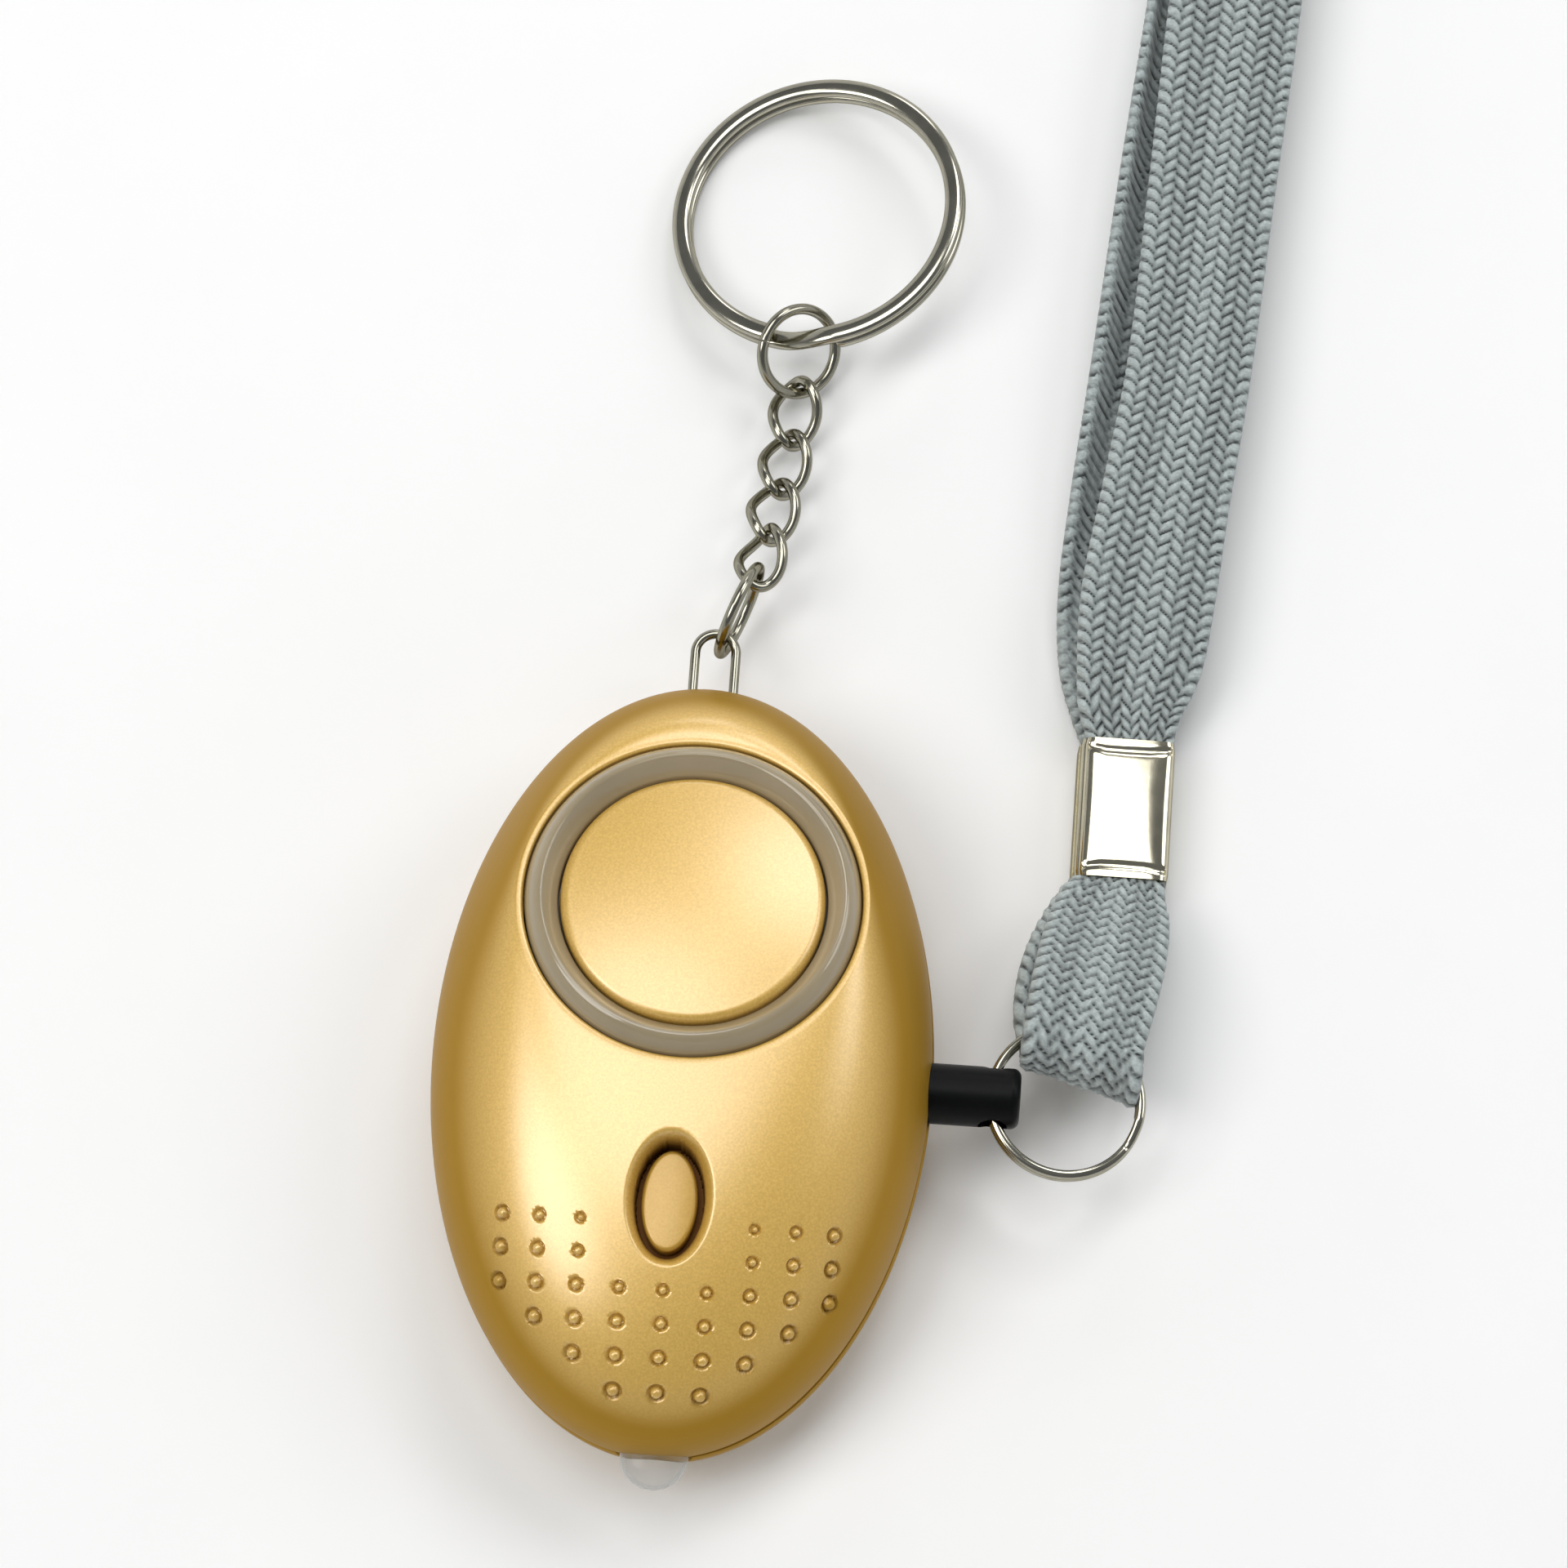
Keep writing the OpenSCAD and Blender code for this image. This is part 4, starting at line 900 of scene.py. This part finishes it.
class ALARM_OT_siren(bpy.types.Operator):
    """Light ring with its raised crease, and the gold cap with its rounded edge."""
    bl_idname = "alarm.siren"
    bl_label = "Siren"

    def execute(self, context):
        outer, inner, crest, bore, foot, shelf, sides = 13.7, 11.0, 12.3, 9.6, -4, -2.6, 240
        t = np.linspace(0, 1, 14)
        rise = joined(outer + (crest - outer) * t, -0.3 + 1.65 * np.sin(t * np.pi / 2) ** 0.8 - 0.08 * t)
        fall = joined(crest + (inner - crest) * t, 1.27 - 1.7 * t ** 1.15)[1:]
        ring = np.vstack([[(bore, shelf), (bore, foot), (outer, foot)], rise, fall, [(inner, shelf)]])
        grid = siren_place(revolved(ring, sides))
        shell("light_ring_skin", grid, smoke_plastic(), "case", ["light_ring"], True)

        edge, low, face, skirt, hollow = 0.8, -1.2, 0.2, 10.4, 9.6
        flat_r = 10.8 - edge
        r = np.linspace(flat_r, 0, 26)
        crown = joined(r, face + form().cap_rise * (1 - (r / flat_r) ** 2))[1:]
        side = arc((flat_r, face - edge), edge, 0, 90, 10)
        cap = np.vstack([[(0, low), (hollow, low), (hollow, shelf), (skirt, shelf), (skirt, low),
                          (flat_r + edge, low)], side, crown])
        grid = siren_place(revolved(cap, sides))
        shell("siren_cap_skin", grid, gold_paint(), "case", ["siren_cap"])
        return {"FINISHED"}


class ALARM_OT_button(bpy.types.Operator):
    """Oval push button with an eased edge and a slightly crowned face."""
    bl_idname = "alarm.button"
    bl_label = "Lamp button"

    def execute(self, context):
        top, foot, ease, crown = 18.1, 16.66, 0.4, 0.12
        a = turns(120)
        side = arc((0, top - ease), ease, 0, 90, 8)
        inset = np.concatenate([[0, 0], ease - side[:, 0]])
        height = np.concatenate([[foot, top - ease - 0.4], side[:, 1]])
        share = np.linspace(1, 0, 14)[1:]
        x = np.concatenate([[0], BUTTON_HALF[0] - inset, (BUTTON_HALF[0] - ease) * share])
        y = np.concatenate([[0], BUTTON_HALF[1] - inset, (BUTTON_HALF[1] - ease) * share])
        z = np.concatenate([[foot], height, top + crown * (1 - share ** 2)])
        grid = joined(x[:, None] * np.cos(a), BUTTON_Y + y[:, None] * np.sin(a), z[:, None])
        # The button's face is darker and duller all over: 0.6 of the way to the darker gold, with less
        # lacquer
        paint = {"thin": np.full(grid.shape[:2], 0.6)}
        shell("lamp_button_skin", grid, gold_paint(), "button", ["lamp_button"], values=paint)
        return {"FINISHED"}


class ALARM_OT_torch(bpy.types.Operator):
    """Clear LED with a domed tip and its rim."""
    bl_idname = "alarm.torch"
    bl_label = "Torch LED"

    def execute(self, context):
        mid, root, rim = 31.6, 25.8, LED_R + 0.4
        profile = np.vstack([[(0, root), (rim, root), (rim, root + 1), (LED_R, root + 1)],
                             arc((0, mid), LED_R, 0, 90, 24)])
        turn = np.array([[1, 0, 0], [0, 0, 1], [0, -1, 0]], float)
        grid = revolved(profile, 96, turn)
        grid[..., 2] *= np.where(grid[..., 2] > 0, LED_TOP / LED_R, 1.0)
        grid += [0, 0, PART_Z]
        shell("torch_led_skin", grid, clear_lens(), "case", ["torch_led"])
        return {"FINISHED"}


class ALARM_OT_pin(bpy.types.Operator):
    """Pull pin: round grip with a rounded end, a cross hole and the flat tongue."""
    bl_idname = "alarm.pin"
    bl_label = "Pull pin"

    def execute(self, context):
        edge, fine_from, step = 0.7, 23.75, 0.15
        along = np.concatenate([np.linspace(PIN_INNER + 0.4, fine_from - step, 12),
                                np.arange(fine_from, PIN_TIP - edge, step)])
        body = joined(PIN_R, along)
        end = arc((PIN_R - edge, PIN_TIP - edge), edge, 0, 90, 8)
        profile = np.vstack([[(0, PIN_INNER), (PIN_R - 0.4, PIN_INNER)], body, end,
                             [(0.9, PIN_TIP), (0, PIN_TIP)]])
        turn = np.array([[0, 1, 0], [0, 0, 1], [1, 0, 0]], float)
        grid = revolved(profile, 112, turn, (0, 0, PART_Z))
        x, y, z = np.moveaxis(grid, -1, 0)
        dx, dz = x - PIN_HOLE_X, z - PART_Z
        far = np.hypot(dx, dz) + 1e-9
        on_side = np.abs(y) > 1.2
        near = np.where(on_side & (np.abs(far - PIN_HOLE_R) < 0.085), PIN_HOLE_R - far, 0.0)
        grid[..., 0] += near * dx / far
        grid[..., 2] += near * dz / far
        grid[..., 1] = np.where(on_side & (far < PIN_HOLE_R - 0.05), np.sign(y) * 0.5, grid[..., 1])
        quads = grid_quads(*grid.shape[:2])
        path = joined(np.linspace(TONGUE_X, PIN_INNER + 0.2, 16), 0, PART_Z)
        section = np.tile(oval_section(*TONGUE_HALF, 0.25, 40), (16, 1, 1))
        section[0] *= 0.86
        tongue, more, caps = swept(path, section, np.array([[0.0, 1.0, 0.0]]), UP, False)
        first = grid.shape[0] * grid.shape[1]
        points = np.vstack([grid.reshape(-1, 3), tongue])
        piece = skin("pull_pin_skin", points, np.vstack([quads, more + first]), caps + first, sharp=0.8)
        black = moulded("black_plastic", finish().black, 0.36, 1400.0)
        dress(piece, black, "pin", ["pull_pin"])
        return {"FINISHED"}


def chain_frames():
    """Middle, forward, left and up of each chain element: each hangs on the end of the one before it."""
    turn, lift, roll = np.radians([CHAIN_TURN, CHAIN_LIFT, CHAIN_ROLL])
    forward = joined(np.sin(turn) * np.cos(lift), np.cos(turn) * np.cos(lift), np.sin(lift))
    right0 = joined(np.cos(turn), -np.sin(turn), 0)
    up0 = np.cross(right0, forward)
    c, s = np.cos(roll)[:, None], np.sin(roll)[:, None]
    right, up = right0 * c + up0 * s, up0 * c - right0 * s
    reach = (np.array(CHAIN_SIZE) / 2 - np.array(CHAIN_WIRE) - LINK_GAP / 2)[:, None]
    slack = np.array([0, 0, 0, 0, 0, KEY_SLACK, 0])[:, None]
    steps = (2 * reach - slack) * forward
    start = np.array([0.5, BAIL_TIP - BAIL_WIRE - LINK_GAP / 2, PART_Z])
    hooks = start + np.vstack([np.zeros((1, 3)), np.cumsum(steps, 0)[:-1]])
    return hooks + reach * forward, forward, -right, up


def split_ring(name, size, wide, thick, start, middle, axes):
    """Two turns of flattened wire, which climbs from the lower coil to the upper one in a short arc."""
    r, climb = (size - wide) / 2, 24.0
    a = np.linspace(0, 720 - climb - 2, 420)
    share = smooth((a - (360 - climb)) / climb)
    turn = np.radians(a + start)
    path = joined(r * np.cos(turn), r * np.sin(turn), (thick + 0.05) * (share - 0.5))
    radial = unit(path * [1, 1, 0])
    section = np.tile(oval_section(wide / 2, thick / 2, 0.8, 18), (len(path), 1, 1))
    section[[0, -1]] *= 0.8
    points, quads, tris = swept(path, section, radial, UP, False)
    return skin(name, points @ axes + middle, quads, tris, sharp=0.9)


class ALARM_OT_rings(bpy.types.Operator):
    """Bail, jump rings, curb links and the two split rings."""
    bl_idname = "alarm.rings"
    bl_label = "Rings and chain"

    def execute(self, context):
        self.bail()
        middle, forward, left, up = chain_frames()
        axes = np.stack([forward, left, up], 1)
        for i, name, slit in ((0, "lower_jump_ring", 100), (5, "upper_jump_ring", 70)):
            gauge = CHAIN_WIRE[i]
            a = np.radians(slit + np.linspace(1.2, 358.8, 96))
            r = (CHAIN_SIZE[i] - gauge) / 2
            path = joined(r * np.cos(a), r * np.sin(a), 0) @ axes[i] + middle[i]
            self.nickel_piece(wire(name + "_wire", path, gauge / 2 + 0.02, up[i]), name, name)
        for i in range(1, 5):
            a = turns(96)
            lean = LINK_TWIST * np.cos(a)
            u = (CHAIN_SIZE[i] - CHAIN_WIRE[i]) / 2 * np.cos(a)
            w = -(LINK_WIDE - CHAIN_WIRE[i]) / 2 * np.sin(a)
            path = joined(u, w * np.cos(lean), -w * np.sin(lean)) @ axes[i] + middle[i]
            name = f"chain_link_{i}"
            piece = self.loop_wire(name + "_wire", path, unit(path - middle[i]), LINK_FULL / 2)
            self.nickel_piece(piece, f"link_{i}", name)
        bright = plain_metal("bright_nickel", finish().bright, 0.1, 0.17)
        key = split_ring("key_ring_wire", CHAIN_SIZE[6], *KEY_WIRE, 196, middle[6], axes[6])
        dress(key, bright, "key_ring", ["key_ring"])
        c, s = np.cos(RING_DROOP), np.sin(RING_DROOP)
        ring_r, back, up_picture = (PIN_RING[0] - PIN_RING[1]) / 2, 0.25, 0.2
        at = np.array([PIN_HOLE_X + ring_r * c - back, up_picture, PART_Z - ring_r * s])
        lean = np.array([[c, 0, -s], [0, 1, 0], [s, 0, c]])
        pin_ring = split_ring("pin_ring_wire", *PIN_RING, -8, at, lean)
        dress(pin_ring, bright, "pin_ring", ["pin_ring"])
        return {"FINISHED"}

    @staticmethod
    def nickel_piece(piece, body, name):
        dress(piece, nickel_plate(), body, [name])

    @staticmethod
    def loop_wire(name, path, out, radius):
        """Closed wire whose section turns with the direction away from the loop's middle."""
        t = unit(np.roll(path, -1, 0) - np.roll(path, 1, 0))
        across = unit(out - (out * t).sum(-1, keepdims=True) * t)
        section = oval_section(radius, radius, 1.0, 18)[None]
        return skin(name, *swept(path, section, across, np.cross(t, across), True))

    def bail(self):
        """Two legs and an arch, with a toe at each foot."""
        foot, arch = BAIL_FOOT, BAIL_TIP - BAIL_WIRE / 2 - BAIL_R
        a = np.radians(np.linspace(0, 180, 40))
        toe = np.array([[BAIL_R + 1.6, foot, 0], [BAIL_R + 0.5, foot, 0], [BAIL_R + 0.15, foot + 0.15, 0],
                        [BAIL_R, foot + 0.5, 0]])
        leg = joined(BAIL_R, np.linspace(foot + 1, arch - 0.1, 12), 0)
        bend = joined(BAIL_R * np.cos(a), arch + BAIL_R * np.sin(a), 0)
        half = np.vstack([toe, leg])
        path = np.vstack([half, bend, half[::-1] * [-1, 1, 1]]) + [0, 0, PART_Z]
        self.nickel_piece(wire("bail_wire", path, BAIL_WIRE / 2), "case", "bail")


class ALARM_OT_clasp(bpy.types.Operator):
    """Folded sheet sleeve with a pillowed face and a lip at each end."""
    bl_idname = "alarm.clasp"
    bl_label = "Strap clasp"

    def execute(self, context):
        half_w, half_h, sheet, swell = 4.15, 2.3, 0.4, 0.14
        a = turns(160)
        c, s = np.cos(a), np.sin(a)
        x = np.sign(c) * np.abs(c) ** 0.22
        z = np.sign(s) * np.abs(s) ** 0.3
        y = CLASP_LEN / 2 * np.sin(np.linspace(-np.pi / 2, np.pi / 2, 81))[:, None]
        from_end = CLASP_LEN / 2 - np.abs(y)
        wide = half_w - 0.1 * np.exp(-(from_end / 0.4) ** 2)
        high = half_h - swell
        pillow = swell * np.cos(y * np.pi / CLASP_LEN) * (1 - np.abs(x) ** 3) * np.sign(s)
        arch = 0.7 + 0.35 * (1 - x ** 2)
        groove = 0.12 * np.exp(-((from_end - arch) / 0.26) ** 2) * np.sign(s) * (np.abs(z) > 0.9)
        seam = 0.16 * np.exp(-((x * half_w) / 0.2) ** 2) * (s < 0)
        slope = 0.4 * (1 + z) * smooth(-x)
        outer = joined(wide * x + slope, y, high * z + pillow - groove + seam)
        inner = joined((wide - sheet) * x, y, (high - sheet) * z)
        grid = np.vstack([outer, inner[::-1]]) + CLASP
        plate = plain_metal("clasp_plate", finish().clasp, 0.08, 0.15)
        shell("strap_clasp_skin", grid, plate, "strap", ["strap_clasp"], True, sharp=0.9)
        return {"FINISHED"}


class ALARM_OT_inside(bpy.types.Operator):
    """Finishes of the solids that stay as they are: board, switch, sounder, cells and screws."""
    bl_idname = "alarm.inside"
    bl_label = "Inside"

    def execute(self, context):
        finishes = (
            ("cream_plastic", moulded, ((0.84, 0.82, 0.76), 0.5),
             ("switch_plunger", "sound_chamber", "strobe_leds", "piezo_ceramic")),
            ("black_parts", moulded, ((0.012, 0.013, 0.015), 0.5), ("tact_switch", "driver_chip")),
            ("board", moulded, ((0.012, 0.12, 0.045), 0.4), ("circuit_board",)),
            ("red_wire", moulded, ((0.45, 0.02, 0.015), 0.45), ("piezo_leads",)),
            ("copper", plain_metal, ((0.48, 0.17, 0.06), 0.3, 0.45), ("boost_coil",)),
            ("brass", plain_metal, ((0.60, 0.40, 0.12), 0.25, 0.4),
             ("piezo_plate", "pin_contact_upper", "pin_contact_lower", "battery_contact_positive",
              "battery_contact_negative")),
            ("steel", plain_metal, ((0.62, 0.62, 0.60), 0.25, 0.4),
             ("battery_cells", "battery_links", "led_leads", "case_screws")))
        for key, maker, settings, names in finishes:
            material = maker(key, *settings)
            for name in names:
                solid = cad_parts[name]
                solid.data.materials.clear()
                solid.data.materials.append(material)
        return {"FINISHED"}


class ALARM_PT_panel(bpy.types.Panel):
    """Lists the pieces and their settings."""
    bl_idname = "ALARM_PT_panel"
    bl_label = "Safety alarm"
    bl_space_type = "VIEW_3D"
    bl_region_type = "UI"
    bl_category = "Alarm"

    def draw(self, context):
        for group in (context.scene.alarm_form, context.scene.alarm_finish):
            for key in group.__annotations__:
                self.layout.prop(group, key)
        for operator in OPERATORS:
            self.layout.operator(operator.bl_idname)


OPERATORS = (ALARM_OT_stage, ALARM_OT_straps, ALARM_OT_front_shell, ALARM_OT_back_shell, ALARM_OT_siren,
             ALARM_OT_button, ALARM_OT_torch, ALARM_OT_pin, ALARM_OT_rings, ALARM_OT_clasp, ALARM_OT_inside)
CLASSES = (AlarmForm, AlarmFinish, *OPERATORS, ALARM_PT_panel)


def register():
    for cls in CLASSES:
        bpy.utils.register_class(cls)
    bpy.types.Scene.alarm_form = bpy.props.PointerProperty(type=AlarmForm)
    bpy.types.Scene.alarm_finish = bpy.props.PointerProperty(type=AlarmFinish)


def unregister():
    del bpy.types.Scene.alarm_finish
    del bpy.types.Scene.alarm_form
    for cls in reversed(CLASSES):
        bpy.utils.unregister_class(cls)


def main():
    register()
    for operator in OPERATORS:
        group, name = operator.bl_idname.split(".")
        getattr(getattr(bpy.ops, group), name)()


if __name__ == "__main__":
    main()
